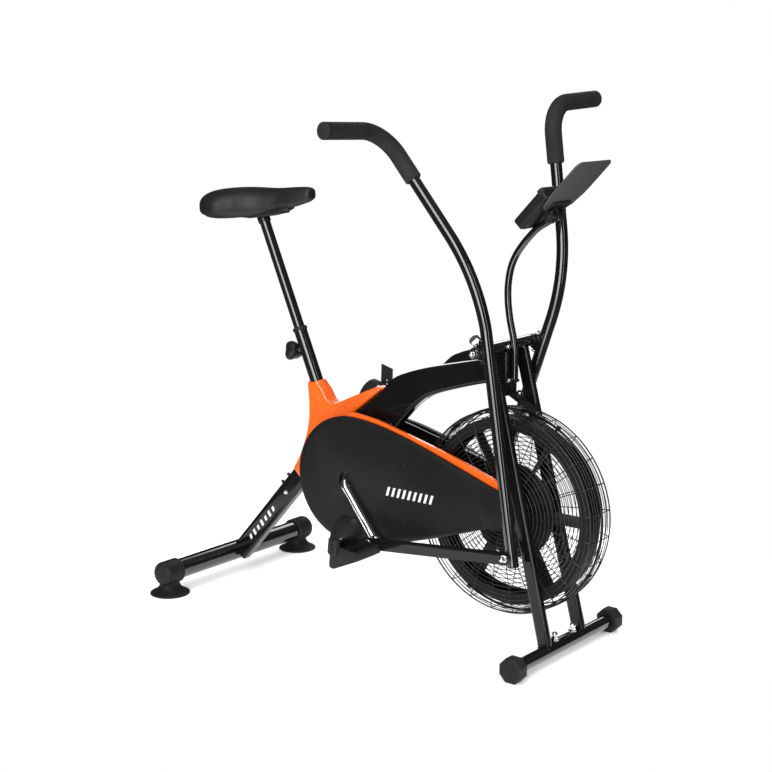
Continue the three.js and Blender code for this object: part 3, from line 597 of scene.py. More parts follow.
def main_frame():
    back = flat([(-610, 553), (-606, 500), (-607, 458), (-617, 413), (-640, 356), (-662, 320)])
    under = flat([(-625, 284), (-590, 268), (-535, 264), (-480, 280), (-430, 293)])
    front = [(-398, 305), (-386, 322), (-384, 339), (-400, 400), (-448, 440), (-459, 492)]
    over = [(-376, 558), (-390, 565), (-528, 503), (-545, 514), (-560, 538), (-576, 552)]
    body = Piece().plate([*back, *under, *front, *over], -21, 21, 9, 4)
    body.rod(on_seat(SLEEVE_BOTTOM + 20), on_seat(2), 23.4)
    pin(body, CRANK_X, CRANK_Z, -33, 33, 24)
    body.weld(2.4, 12)
    ridge = [(-530, 499, 19), (-500, 512, 21.4), (-470, 528, 21.4), (-440, 541, 21.4), (-405, 556, 19)]
    for side in (-1, 1):
        body.tube(curve([(x, side * y, z - 8) for x, z, y in ridge], 4), 2.2, 10, ends=1)
    shell = pin(Piece(), CRANK_X, CRANK_Z, -40, 40, 20)
    socket = Piece().rod(on_seat(SLEEVE_BOTTOM - 1), on_seat(30), SLEEVE_R + 0.4)
    body.cut(shell, socket).done("main_frame", "frame", orange, 50)
    for name, side in SIDES:
        cup = [(10.1, 0), (19.6, 0), (19.6, 12.4), (22.4, 12.4), (23, 13), (23, 14.9), (22.4, 15.5)]
        cup += [(17, 15.5), (16.4, 14.2), (13, 14.2), (12.4, 15.5), (10.1, 15.5)]
        made = Piece().turned(cup, at(CRANK_X, side * 22, CRANK_Z), Y * side, 48, closed=True)
        made.done(name + "_bearing_cup", "frame", steel)


def top_tube():
    over = flat([(-375, 557), (-340, 591), (-301, 609), (-250, 625), (-195, 638), (-135, 652), (-49, 672)])
    below = flat([(-49, 617), (-140, 592), (-224, 564), (-262, 541), (-293, 513), (-326, 478), (-352, 440)])
    tube = Piece().plate([*over, *below, (-399, 400), (-447, 440), (-458, 491)], -20, 20, 13, 5)
    pin(tube, -395, 452, -53.6, 53.6, 11)
    tube.weld(2.4, 10)
    crease = [(-430, 19, 470), (-385, 20.5, 500), (-330, 20.5, 522), (-270, 19, 543)]
    boss = [(15, 0), (15.6, 0.6), (15, 1.4), (11, 1.8)]
    for side in (-1, 1):
        tube.tube(curve([(x, side * y, z) for x, y, z in crease], 4), 1.6, 8, ends=0.8)
        for x, y, z in ((-352, 19, 470), (-395, 50, 452)):
            tube.turned(boss, at(x, side * y, z), Y * side, 32)
    tube.done("top_tube", "frame", black, 50)


def head():
    column = Piece().prism(rectangle(40, 40, 6), at(-28, 0, 590), Z, 99, 1.2, Y)
    fin = flat([(-196, 641), (-172, 662), (-150, 673), (-118, 684), (-60, 695), (-34, 697)])
    column.plate([*fin, (-34, 676), (-135, 655)], -9, 9, 3, 3)
    for side in (-1, 1):
        column.plate([(-46, 592), (-10, 592), (-10, 606), (-46, 606)], side * 20, side * 21.6, 0.6, 2)
    column.cut(pin(Piece(), PIVOT_X, PIVOT_Z, -97, 97, HANDLE_R + 0.4))
    loop = []
    for x, y in rectangle(42, 42, 7, 8):
        across = max(-1.0, min(1.0, (x - 4) / HANDLE_R / 1.7))
        drop = HANDLE_R * max(0.25, (1 - across * across)) ** 0.5
        loop.append(at(PIVOT_X - 4 + x * 0.98, y, PIVOT_Z - drop - 0.4))
    seam(column, loop, 1.6)
    column.done("head_column", "frame", black)

    cross = Piece().turned(pipe(7.6, HANDLE_R, 192), at(PIVOT_X, -96, PIVOT_Z), Y, 48, closed=True)
    for side in (-1, 1):
        seam(cross, leg_mouth(side))
    cross.done("cross_tube", "frame", tube_paint)

    axle = pin(Piece(), PIVOT_X, PIVOT_Z, -130, 130, 7)
    for side in (-1, 1):
        acorn(axle, at(PIVOT_X, side * 124.9, PIVOT_Z), Y * side, 20, 0.92)
    axle.done("pivot_axle", "frame", chrome)

    out = at(-cos(radians(38)), 0, sin(radians(38)))
    lock = Piece()
    base = at(PIVOT_X, -84, PIVOT_Z)
    lock.rod(base + out * 13.9, base + out * 24, 5.5)
    for i in range(5):
        lock.hoop(5.6, 0.8, base + out * (15.5 + 1.6 * i), out, 24, 6)
    lock.prism(regular(6, 22), base + out * 22.5, out, 19.5, 1.6, Y, 3)
    lock.turned([(9.5, 0), (9.9, 0.5), (9.9, 1.5), (8, 2)], base + out * 20.6, out, 36)
    lock.done("axle_lock_bolt", "frame", chrome)
    for number, x, z in ((2, PIVOT_X + 13, PIVOT_Z), (1, -7.9, 625)):
        stud = bolt_head(Piece(), at(x, -11, z), X, 5.4, 4)
        stud.done("post_bolt_%d" % number, "frame", chrome, extra=True)


def leg_mouth(side):
    """Where a fork leg meets the cross tube."""
    loop = []
    for u, v in oval(16.5, 9.6, 3, 40):
        x = max(-0.97, min(0.97, u / HANDLE_R / 1.25)) * HANDLE_R
        drop = (HANDLE_R**2 - x * x) ** 0.5
        loop.append(at(PIVOT_X + x + 0.6, side * LEG_TOP.y + v, PIVOT_Z - drop - 0.3))
    return loop


# ---- fork, fan brackets and stays ----
def fork():
    for name, side in SIDES:
        top = at(LEG_TOP.x, side * LEG_TOP.y, LEG_TOP.z) - LEG_DOWN * 4
        foot = at(LEG_FOOT.x, side * LEG_FOOT.y, LEG_FOOT.z) + LEG_DOWN * 2
        leg = Piece().tube([top.lerp(foot, i / 12) for i in range(13)], 1, section=oval(16, 9, 4, 44))
        head_clear = pin(Piece(), PIVOT_X, PIVOT_Z, -99, 99, HANDLE_R + 0.3)
        leg.cut(head_clear, pin(Piece(), FRONT_X, FRONT_Z, -99, 99, FRONT_R + 3.6))
        mouth = [foot + at(u * 0.98, v, 0) + LEG_DOWN * (-0.5 + u * 0.12) for u, v in oval(17, 9.8, 3, 44)]
        seam(leg, mouth, 1.5)
        leg.done(name + "_leg", "frame", black)
        axle_bracket(name, side)


def axle_bracket(name, side):
    outline = [(-16, 334), (-18, 308), (8, 297), (96, 262), (89, 290), (68, 315), (16, 338), (-6, 342)]
    body = Piece().plate(outline, side * 54.2, side * 58.2, 1.4)
    housing = [(8.8, 0), (14.2, 0), (15, 0.8), (15, 13.2), (8.8, 13.2)]
    body.turned(housing, at(0, side * 45, FAN_Z), Y * side, 48, closed=True)
    body.cut(pin(Piece(), 0, FAN_Z, side * 40, side * 62, 8.7))
    body.hoop(15.2, 1.2, at(0, side * 54, FAN_Z), Y, 48)
    body.done(name + "_axle_bracket", "frame", black)
    nut = Piece()
    washer = [(8.3, 0), (13, 0), (13.4, 0.5), (13.4, 1.7), (12.6, 2), (8.3, 2)]
    nut.turned(washer, at(0, side * 58.6, FAN_Z), Y * side, 40, closed=True)
    nut.done(name + "_axle_washer", "frame", steel, extra=True)


def stay(name, side, drop, look):
    top = [(-445, 497), (-419, 503), (-355, 496), (-290, 481), (-197, 458), (-104, 433), (-7, 403)]

    def leg_x(z):
        return LEG_TOP.x + (LEG_FOOT.x - LEG_TOP.x) * (LEG_TOP.z - z) / (LEG_TOP.z - LEG_FOOT.z)

    end_top, end_low = 387 - drop, 360 - drop
    over = flat([(x, z - drop) for x, z in top])
    under = flat([(x, z - 28 - drop) for x, z in reversed(top)])
    ends = [(leg_x(end_top) - 18, end_top), (leg_x(end_low) - 18, end_low)]
    made = Piece().plate([*over, *ends, *under], side * STAY_IN, side * STAY_OUT, 4.2, 4)
    for x in (-405, -335):
        z = 482 - drop - (0 if x < -400 else 10)
        bolt_head(made, at(x, side * STAY_OUT, z), Y * side, 4.5, 2.6)
    made.done(name, "frame", look)


def front_stabilizer():
    skin = wall(FRONT_R - TUBE_WALL, FRONT_R, 2 * FRONT_HALF)
    bar = Piece().turned(skin, at(FRONT_X, -FRONT_HALF, FRONT_Z), Y, 48, closed=True)
    bar.done("front_stabilizer", "frame", tube_paint)

    def band(over, under, start):
        """A strip bent over the tube, its faces that far off the tube's skin."""
        outer = arc(FRONT_X, FRONT_Z, FRONT_R + over, start, 180 - start)
        return outer + arc(FRONT_X, FRONT_Z, FRONT_R + under, 180 - start, start)

    cradle = Piece().plate(band(3.4, 0.4, 25), -84, 84, 0.8, 2)
    for side in (-1, 1):
        cradle.plate(band(4.6, 3.2, 30), side * 52, side * 83, 0.5, 2)
    cradle.done("fork_saddle", "frame", black)
    for name, side in SIDES:
        inner, outer = at(FRONT_X, side * 190, FRONT_Z), at(FRONT_X, side * 221, FRONT_Z)
        cap = Piece().prism(regular(8, 2 * FRONT_Z), inner, Y * side, 31, 4, Z, 4)
        bore = pin(Piece(), FRONT_X, FRONT_Z, side * 180, side * (FRONT_HALF + 1), FRONT_R + 0.4)
        cap.cut(bore).done(name + "_front_cap", "frame", rubber)
        seat = at(FRONT_X, side * 38, FRONT_Z + FRONT_R + 3.6)
        bolt = Piece().turned([(9.6, 0), (10, 0.4), (10, 1.6), (9.6, 2)], seat, Z, 36)
        bolt.hexagon(seat + Z * 2, Z, 14.5, 8, 0.9)
        dome = [(7, 0), (7.1, 1), (7, 5), (6, 7.6), (4, 9.4), (1.5, 10)]
        bolt.turned(dome, seat + Z * 9.6, Z, 32)
        bolt.done(name + "_fork_bolt", "frame", chrome)


def rear_end():
    low, high = at(-866, 0, 56.5), at(-644.6, 0, 301.4)
    up = (high - low).normalized()
    side_on = oval(25, 15, 7, 48)
    leg = Piece().tube([low.lerp(high, i / 10) for i in range(11)], 1, section=side_on)
    leg.cut(pin(Piece(), REAR_X, REAR_Z, -60, 60, REAR_R + 0.3))
    out = up.cross(Y)
    leg.done("rear_leg", "frame", black)
    nuts = Piece()
    for d in (262, 292):
        acorn(nuts, low + up * d + out * 25.2, out, 11, 0.62)
    nuts.done("rear_leg_nuts", "frame", black, extra=True)
    head_bolt = Piece()
    bolt_head(head_bolt, at(-691, -15.1, 251), -Y, 5.6, 3.6)
    head_bolt.done("rear_leg_bolt", "frame", chrome, extra=True)
    dashes(low, up, out)

    skin = wall(REAR_R - TUBE_WALL, REAR_R, 2 * REAR_HALF)
    bar = Piece().turned(skin, at(REAR_X, -REAR_HALF, REAR_Z), Y, 56, closed=True)
    bar.done("rear_stabilizer", "frame", tube_paint)
    for name, side in SIDES:
        cup = [(0.5, 40), (REAR_R + 0.4, 40), (REAR_R + 0.4, 0), (30.2, 0), (31, 0.8), (31, 6), (30.3, 7)]
        cup += [(31, 8), (31, 46), (29.6, 51), (26.5, 55), (21, 57), (0.5, 57.4)]
        start = at(REAR_X, side * (REAR_HALF - 39.6), REAR_Z)
        Piece().turned(cup, start, Y * side, 64).done(name + "_rear_cap", "frame", rubber)
        shape = [(0.5, 0), (49.5, 0), (51, 1.2), (50.6, 3.4), (47, 5.6), (40, 9), (32, 14.5)]
        shape += [(27.4, 20.5), (25.4, 28), (25, 36), (0.5, 36)]
        foot = Piece().turned(shape, at(REAR_X - 3, side * 246, 0), Z, 64)
        foot.cut(pin(Piece(), REAR_X, REAR_Z, side * 200, side * 300, 31.4, 64))
        foot.done(name + "_rear_foot", "frame", rubber)


def dashes(low, up, out):
    """A row of slanted bars along the rear leg, where the real one carries lettering."""
    marks = Piece()
    for i in range(7):
        d = 70 + 20 * i
        tall = 15 if i % 2 else 11
        slant = [(-4.5, -tall / 2 + 3), (4.5, -tall / 2 + 3), (7.5, tall / 2 + 3), (-1.5, tall / 2 + 3)]
        ring = [low + up * (d + a) + out * (b - 4) for a, b in slant]
        marks.loft([[p - Y * 14.98 for p in ring], [p - Y * 15.12 for p in ring]])
    marks.done("leg_dashes", "frame", print_grey, extra=True)


# ---- chain side ----
def cover_outline(inset):
    """A round back and a round nose, joined by two swept edges that mirror each other."""
    r, nose = COVER_R - inset, 42 - inset
    edge = []
    for i in range(1, 32):
        t = i / 32
        share = ((1 - t) ** 3, 3 * t * (1 - t) ** 2, 3 * t * t * (1 - t), t**3)
        pulls = ((CRANK_X, r), (-320, r), (-190, 108 - inset), (4, nose + 1))
        edge.append([sum(k * pull[j] for k, pull in zip(share, pulls)) for j in (0, 1)])
    lower = [(x, CRANK_Z - z) for x, z in edge]
    upper = [(x, CRANK_Z + z) for x, z in reversed(edge)]
    return arc(CRANK_X, CRANK_Z, r, 90, 270, 56) + lower + arc(6, CRANK_Z, nose, -84, 84, 20) + upper


def cover(name, side, inset):
    """A crowned shell, open at the back, with a swelling over the fan's axle."""

    def skin(levels, shift):
        return [[at(x, side * y, z) for x, z in cover_outline(inset + shift + cut)] for cut, y in levels]

    outer = [(0, COVER_BACK), (0, 76), (0.8, 79.2), (2.4, 81.6), (4.8, 83.4), (8, 84.7), (12, 85.4), (17, 85.8)]
    outer.append((22, COVER_FACE))
    shell = Piece().loft(skin(outer, 0))
    swell = [(40, 0), (38, 0.5), (34, 1.2), (28, 2.3), (22, 3.4), (16, 4.2), (9, 4.7), (0.5, 4.9)]
    shell.turned(swell, at(0, side * (COVER_FACE - 1), 330), Y * side, 64)
    inner = [(0, 58), (0, 76), (1.6, 79.4), (5, 81.6), (10, 83), (16, 83.5)]
    hole = pin(Piece(), CRANK_X, CRANK_Z, side * 60, side * 96, 21, 48)
    shell.cut(Piece().loft(skin(inner, COVER_WALL)), hole)
    rim = [(21, 0), (22.6, 0), (24.6, 1.1), (24.2, 1.6), (22.4, 1.9), (21, 1.5)]
    shell.turned(rim, at(CRANK_X, side * 85.2, CRANK_Z), Y * side, 56, closed=True)
    shell.done(name, "frame", satin, 32)
    screws = Piece()
    for x, z in ((-548, 400), (-500, 236), (-250, 406), (-250, 268), (-70, 352)):
        k = 1 - inset / 60 * 0.3
        seat = at(CRANK_X + (x - CRANK_X) * k, side * 85.9, CRANK_Z + (z - CRANK_Z) * k)
        bolt_head(screws, seat, Y * side, 3.6, 1.8)
    screws.done(name + "_screws", "frame", plastic, extra=True)


def emblem():
    """A band of plain slanted stripes on the right cover, where the real one carries printing."""
    stripes = Piece()
    for i in range(9):
        x = -306 + 16 * i
        stripes.plate([(x, 322), (x + 7, 322), (x + 14, 344), (x + 7, 344)], -86.0, -86.16)
    stripes.done("cover_stripes", "frame", print_grey, extra=True)


def drive():
    near, far = -CHAIN_Y - 1.5, -CHAIN_Y + 1.5
    ring = Piece().plate(toothed(CRANK_X, CRANK_Z, 39, (75.6, 77, 80.4, 80.4)), near, far)
    ring.rod(at(CRANK_X, -CHAIN_Y - 5, CRANK_Z), at(CRANK_X, -CHAIN_Y + 14, CRANK_Z), 17)
    bores = [pin(Piece(), CRANK_X, CRANK_Z, -100, -40, CRANK_R + 0.4)]
    bores += [pin(Piece(), CRANK_X + u, CRANK_Z + v, -80, -60, 18) for u, v in circle(47, 5)]
    ring.cut(*bores).done("chainring", "crankset", steel)

    cog = Piece().plate(toothed(0, FAN_Z, 9, (16.2, 18)), near, far, 0.4, 1)
    pin(cog, 0, FAN_Z, -77, -62, 14)
    cog.cut(pin(Piece(), 0, FAN_Z, -85, -55, 8.4)).done("fan_sprocket", "fan", steel)

    r1, r2 = CHAINRING_R + 2, SPROCKET_R + 2
    dx, dz = -CRANK_X, FAN_Z - CRANK_Z
    lean, opening = atan2(dz, dx), acos((r1 - r2) / hypot(dx, dz))
    path = []
    round_ring = (CRANK_X, CRANK_Z, r1, lean + opening, 2 * (pi - opening))
    round_cog = (0, FAN_Z, r2, lean - opening, 2 * opening)
    for cx, cz, r, start, sweep in (round_ring, round_cog):
        n = max(8, int(sweep * r / 3))
        turns = [start + sweep * i / n for i in range(n + 1)]
        path += [at(cx + r * cos(a), 0, cz + r * sin(a)) for a in turns]
    path.append(path[0])
    steps = [0]
    for p, q in zip(path, path[1:]):
        steps.append(steps[-1] + (q - p).length)
    links = round(steps[-1] / 12.7 / 2) * 2
    pins = []
    seg = 0
    for i in range(links):
        want = steps[-1] * i / links
        while steps[seg + 1] < want:
            seg += 1
        share = (want - steps[seg]) / (steps[seg + 1] - steps[seg])
        pins.append(path[seg].lerp(path[seg + 1], share))
    chain = Piece()
    for i, p in enumerate(pins):
        q = pins[(i + 1) % links]
        d = (q - p).normalized()
        up = d.cross(Y)
        eye = [(-d * cos(a) + up * sin(a)) * 3.9 for a in (radians(t) for t in range(-80, 81, 32))]
        outline = [p + e for e in eye] + [q - e for e in eye]
        for s in (-1, 1):
            faces = [at(0, -CHAIN_Y + s * h, 0) for h in ((2.1, 3.1) if i % 2 else (3.2, 4.1))]
            chain.loft([[o + face for o in outline] for face in faces])
        chain.rod(p + at(0, -CHAIN_Y - 4.4, 0), p + at(0, -CHAIN_Y + 4.4, 0), 1.7, 8, 0.2)
    chain.done("chain", "frame", steel)


# ---- crank, pedals and links ----
def crank():
    tips = [spindle(side, side * CRANK_Y) for side in (1, -1)]
    hubs = [at(CRANK_X, side * CRANK_Y, CRANK_Z) for side in (1, -1)]
    bar = Piece().tube(rounded([tips[0], *hubs, tips[1]], 17, 10), CRANK_R, 36)
    for side in (-1, 1):
        p = spindle(side)
        eye = [(12.6, 0), (14, 1.4), (14, 15.6), (12.6, 17), (9, 17)]
        bar.turned([(9, 0), *eye], at(p.x, side * 91, p.z), Y * side, 40)
        pin(bar, p.x, p.z, side * 106, side * 212, SPINDLE_R)
        bar.turned([(8.4, 0), (9, 0.5), (9, 2.5), (8.4, 3)], at(p.x, side * 109, p.z), Y * side, 32)
        bar.hexagon(at(p.x, side * 112, p.z), Y * side, 15, 8)
    bar.done("crank", "crankset", chrome)
    for name, side in SIDES:
        # Each collar sits recessed in the cover's crank hole, in the darker fan plastic as painted shade of
        # that recess.
        ring = [(9.7, 0), (15.4, 0), (16, 0.6), (16, 5.4), (15, 6.4), (9.7, 6.4)]
        collar = Piece().turned(ring, at(CRANK_X, side * 74, CRANK_Z), Y * side, 48, closed=True)
        collar.done(name + "_crank_collar", "crankset", fan_plastic, extra=True)


def pedal(name, side, tip, tall, tail, tail_line):
    """A pedal drawn level round its spindle, then tipped.

    tall is its strap's height, tail the outline of the strap's loose end, and tail_line its line of holes.
    """
    lean = radians(tip)
    centre = spindle(side)

    def y(inner):
        return side * (134.5 + inner)

    def posed(piece):
        return piece.turn(lean, "Y").shift(centre)

    body = Piece()
    for s in (-1, 1):
        teeth = []
        for i in range(13):
            u = -38 + i * 6.4
            teeth += [(u - 2.6, 9), (u - 1.6, 7.4), (u + 1.6, 7.4), (u + 2.6, 9)]
        rail = [*teeth, (42, 8), (43, 6), (43, -6), (41, -9), (-41, -9), (-43, -6), (-43, 6), (-42, 8)]
        origin = at(s * 33, y(43), 0)
        body.prism([(side * a, b) for a, b in rail], origin, X * s, 12, 0, Z)
    for a, b in ((0, 6), (80, 86)):
        outline = [(-45, -6), (-42, -9), (42, -9), (45, -6), (45, 6), (42, 9), (-42, 9), (-45, 6)]
        body.plate(outline, y(a), y(b), 1.4, 2)
    pin(body, 0, 0, y(0), y(86), 9)
    for a in (24, 43, 62):
        body.plate([(-34, -6), (34, -6), (34, 5), (-34, 5)], y(a - 1.6), y(a + 1.6), 0.5, 2)
    weight = [(-43, -6), (-43, -46), (-37, -52), (-28, -52), (40, -13), (42, -6)]
    body.plate(weight, y(14), y(82), 2, 3)
    for a in (28, 38, 48):
        tip_x = 40 - 1.9 * (a - 13)
        body.plate([(-40, -a), (-40, -a - 2), (tip_x - 4, -a - 2), (tip_x, -a)], y(81.4), y(82.8), 0.4, 1)
    body.cut(pin(Piece(), 0, 0, y(-2), y(81), SPINDLE_R + 0.5))
    posed(body).done(name + "_pedal", name + "_pedal_body", plastic)

    loop = []
    for i in range(33):
        a = pi * i / 32
        loop.append(at(-28, y(43) + 42.4 * cos(a), 9.6 + tall * sin(a) ** 0.96))
    strap = Piece().tube(loop, 1, section=rectangle(3, 31, 1.3), up=X)
    strap.cut(Piece().plate([(-60, -20), (60, -20), (60, 9.6), (-60, 9.6)], y(-10), y(96)))
    end = Piece().plate(tail, y(86.5), y(89.3), 0.9, 2)
    (x0, z0), (x1, z1) = tail_line
    holes = [(x0 + (x1 - x0) * i / 3, z0 + (z1 - z0) * i / 3) for i in range(4)]
    end.cut(*[pin(Piece(), x, z, y(84), y(92), 2.6, 20) for x, z in holes])
    strap.merge(end.bm)
    posed(strap).done(name + "_pedal_strap", name + "_pedal_body", rubber)


def link(name, side):
    rear = spindle(side)
    spin = Matrix.Rotation(handle_lean(side), 3, "Y")
    front = spin @ at(21, 0, -463) + at(PIVOT_X, 0, PIVOT_Z)
    lean = atan2(front.z - rear.z, front.x - rear.x) * 180 / pi
    outline = arc(rear.x, rear.z, LINK_HALF, lean + 90, lean + 270)
    outline += arc(front.x, front.z, LINK_HALF, lean - 90, lean + 90)
    inner, outer = side * (LINK_Y - LINK_THICK / 2), side * (LINK_Y + LINK_THICK / 2)
    bar = Piece().plate(outline, inner, outer, 1, 2)
    bar.cut(*[pin(Piece(), end.x, end.z, side * 120, side * 140, r) for end, r in ((rear, 7), (front, 5))])
    bar.done(name + "_link", name + "_link_bar", black)
    bolt = Piece()
    acorn(bolt, at(front.x, outer + side * 0.1, front.z), Y * side, 14, 0.85)
    pin(bolt, front.x, front.z, side * 125.6, outer, 4.6)
    bolt.done(name + "_link_bolt", name + "_link_bar", chrome, extra=True)
    collar = Piece().turned(pipe(6.4, 11.6, 2.4), at(rear.x, outer, rear.z), Y * side, 40, closed=True)
    collar.done(name + "_link_collar", name + "_link_bar", steel, extra=True)


def handle_lean(side):
    return HANDLE_NEUTRAL + side * HANDLE_REST


def handle_route():
    """The left handle tube's centre line, with its pivot at the origin and its lower end upright."""
    bend_r, bend, splay = 464, radians(29), tan(radians(4.5))
    arcs = [bend * i / 16 for i in range(17)]
    side_on = [(HANDLE_AHEAD, z) for z in (-HANDLE_BELOW, -300, -120, 20)]
    side_on += [(HANDLE_AHEAD - bend_r * (1 - cos(t)), 43 + bend_r * sin(t)) for t in arcs]
    points = [at(x, HANDLE_Y + max(0, z - 50) * splay, z) for x, z in side_on]
    up = at(-sin(bend), splay * cos(bend), cos(bend)).normalized()
    out = at(sin(radians(-1.5)), cos(radians(2.1)), sin(radians(2.1))).normalized()
    points += [points[-1] + up * GRIP_FROM, points[-1] + up * 211]
    full = up.angle(out)
    aside = (out - up * up.dot(out)).normalized()
    centre = points[-1] + aside * GRIP_BEND
    for i in range(1, 17):
        t = full * i / 16
        points.append(centre + (up * sin(t) - aside * cos(t)) * GRIP_BEND)
    points += [points[-1] + out * d for d in (42, 84, 126)]
    return points


def handle(name, side):
    route = [at(p.x, side * p.y, p.z) for p in handle_route()]
    pivot = at(PIVOT_X, 0, PIVOT_Z)

    def posed(piece):
        return piece.turn(handle_lean(side), "Y").shift(pivot)

    tube = Piece().tube(route, HANDLE_R, 40)
    tube.plate([(2, -17), (HANDLE_AHEAD, -24), (HANDLE_AHEAD, 24), (2, 17)], side * 104, side * 118, 2.4, 3)
    tube.cut(pin(Piece(), 0, 0, side * 90, side * 130, HANDLE_R - 1))
    tube.turned(pipe(7.5, HANDLE_R, 27.5), at(0, side * 97, 0), Y * side, 48, closed=True)
    pin(tube, 21, -463, side * 118, side * 125.4, 8)
    tube.turned([(11, 0), (11.4, 0.6), (9.5, 2.2), (8, 3)], at(21, side * 122, -463), Y * side, 32)
    for a in (-24, 24):
        bead = [(11 * c, 6.5 * s) for c, s in circle(1, 24)]
        seam(tube, [at(HANDLE_AHEAD - 12 + u, side * (HANDLE_Y + v), a) for u, v in bead], 1.3)
    posed(tube).done(name + "_handle", name + "_handlebar", tube_paint, 45)
    foot = at(HANDLE_AHEAD, side * HANDLE_Y, -HANDLE_BELOW)
    plug = Piece().turned([(13.4, 0), (13.4, 2), (12.4, 3), (0.5, 3.2)], foot, -Z, 40)
    posed(plug).done(name + "_handle_plug", name + "_handlebar", plastic, extra=True)

    covered = route[21:]
    tip = (route[-1] - route[-2]).normalized()
    grip = Piece().tube([*covered, route[-1] + tip * 3], 19.5, 44, ends=5)
    lead = (covered[0] - covered[1]).normalized() * 12
    inside = [covered[0] + lead, *covered[1:], route[-1] + tip * 0.4]
    grip.cut(Piece().tube(inside, HANDLE_R + 0.5, 40))
    made = posed(grip).done(name + "_grip", name + "_handlebar", foam, 50)


# ---- fan and guard ----
def on_blade(r, degrees, thick, wide):
    """A place on a blade that lies along +X, r out from the axle and twisted by that many degrees."""
    c, s = cos(radians(degrees)), sin(radians(degrees))
    return at(r, wide * c - thick * s, wide * s + thick * c)


def fan():
    axle = pin(Piece(), 0, FAN_Z, -80, 64, 8)
    for i in range(5):
        axle.hoop(8.05, 0.5, at(0, 59.4 + i, FAN_Z), Y, 32, 6)
    axle.done("fan_axle", "fan", steel)
    outside = [(194, -23), (195, -24), (219, -24), (220, -23), (220, -14), (218.6, -12)]
    outside += [(r, -y) for r, y in reversed(outside)]
    inside = [(194, 20), (196.4, 19), (197.4, 21.5), (216, 21.5), (217, 20.4)]
    profile = outside + inside + [(r, -y) for r, y in reversed(inside)]
    wheel = Piece().turned(profile, at(0, 0, FAN_Z), Y, 120, closed=True)
    hub = [(8.4, -30), (22, -30), (24, -28), (24, -4), (60, -3.6), (110, -3), (112, -1.6)]
    hub += [(r, -y) for r, y in reversed(hub)]
    wheel.turned(hub, at(0, 0, FAN_Z), Y, 96, closed=True)
    for r in (48, 72, 96):
        for s in (-1, 1):
            wheel.hoop(r, 1.4, at(0, s * 3.2, FAN_Z), Y, 96, 8)
    for i in range(6):
        blade = Piece()
        rings = []
        for k in range(9):
            wide = 23 if k else 20
            section = ((-1.5, -wide), (1.5, -wide), (3.2, 0), (1.5, wide), (-1.5, wide), (0.2, 0))
            rings.append([on_blade(20 + 199 * k / 8, 16 - 4 * k / 8, u, v) for u, v in section])
        blade.loft(rings)
        for k in range(8):
            for s in (-1, 1):
                ends = (on_blade(122 + 8.4 * k, 14, s * 2.2, v) for v in (-18, 18))
                blade.rod(*ends, 1.1, 8, 0.3)
        wheel.merge(blade.turn(2 * pi * i / 6, "Y").shift(at(0, 0, FAN_Z)).bm)
    wheel.done("fan_wheel", "fan", fan_plastic, 30)


def guard_depth(r):
    return GUARD_FACE - (GUARD_FACE - GUARD_HALF) * max(0, (r - 120) / (GUARD_R - 124)) ** 2


def guard(name, side):
    wire = Piece()
    rings = 20
    for i in range(rings):
        r = 38 + (GUARD_R - 4 - 38) * i / (rings - 1)
        thick = 1.8 if i in (0, rings - 1) else 1.05
        wire.hoop(r, thick, at(0, side * guard_depth(r), FAN_Z), Y, 120, 6)
    for y in (34, 24, 14):
        wire.hoop(GUARD_R, 1.05, at(0, side * y, FAN_Z), Y, 120, 6)
    for i in range(24):
        a = (i + 0.5) / 24 * 2 * pi
        turn = Matrix.Rotation(a, 3, "Y")
        start = 34 if i % 2 == 0 else 92
        low = [r for r in (34, 92, 130, 160, 190, 215, GUARD_R - 4) if r >= start]
        line = [at(r, side * (guard_depth(r) - 2.4), 0) for r in low]
        line += [at(GUARD_R - gap, side * y, 0) for gap, y in ((1.8, GUARD_HALF - 6), (1.8, 24), (1.4, 3.5))]
        wire.tube([turn @ p + at(0, 0, FAN_Z) for p in line], 1.1, 6)
    wire.done(name + "_guard", "frame", wire_paint, 80)


def guard_ring():
    ring = Piece().hoop(GUARD_R, RING_R, at(0, 0, FAN_Z), Y, 144, 14)
    for deg in (60, 150, 240, 330):
        clip = Piece().prism(rectangle(16, 7, 2), at(GUARD_R - 3, 0, 0), X, 9, 0.8, Z)
        clip.rod(at(GUARD_R + 5, 0, 4.5), at(GUARD_R + 7.2, 0, 4.5), 2.6, 12)
        ring.merge(clip.turn(-radians(deg), "Y").shift(at(0, 0, FAN_Z)).bm)
    ring.done("guard_ring", "frame", black)
    arm = [(-7.6, 622), (-2.6, 622), (-2.6, 598), (0, 594.6), (64, 560), (61.5, 556), (-4, 589.4)]
    arm.append((-7.6, 592))
    bracket = Piece().plate(arm, -14, 14, 1, 2)
    bracket.hoop(8, 2.5, at(16, 0, 594), Y, 40, 12)
    for y in (-8, 8):
        bolt_head(bracket, at(-2.5, y, 612), X, 3.2, 2.4)
    bracket.plate([(44, 568), (62, 558.4), (58, 552), (40, 562)], -10, 10, 1, 2)
    bracket.done("guard_bracket", "frame", black)


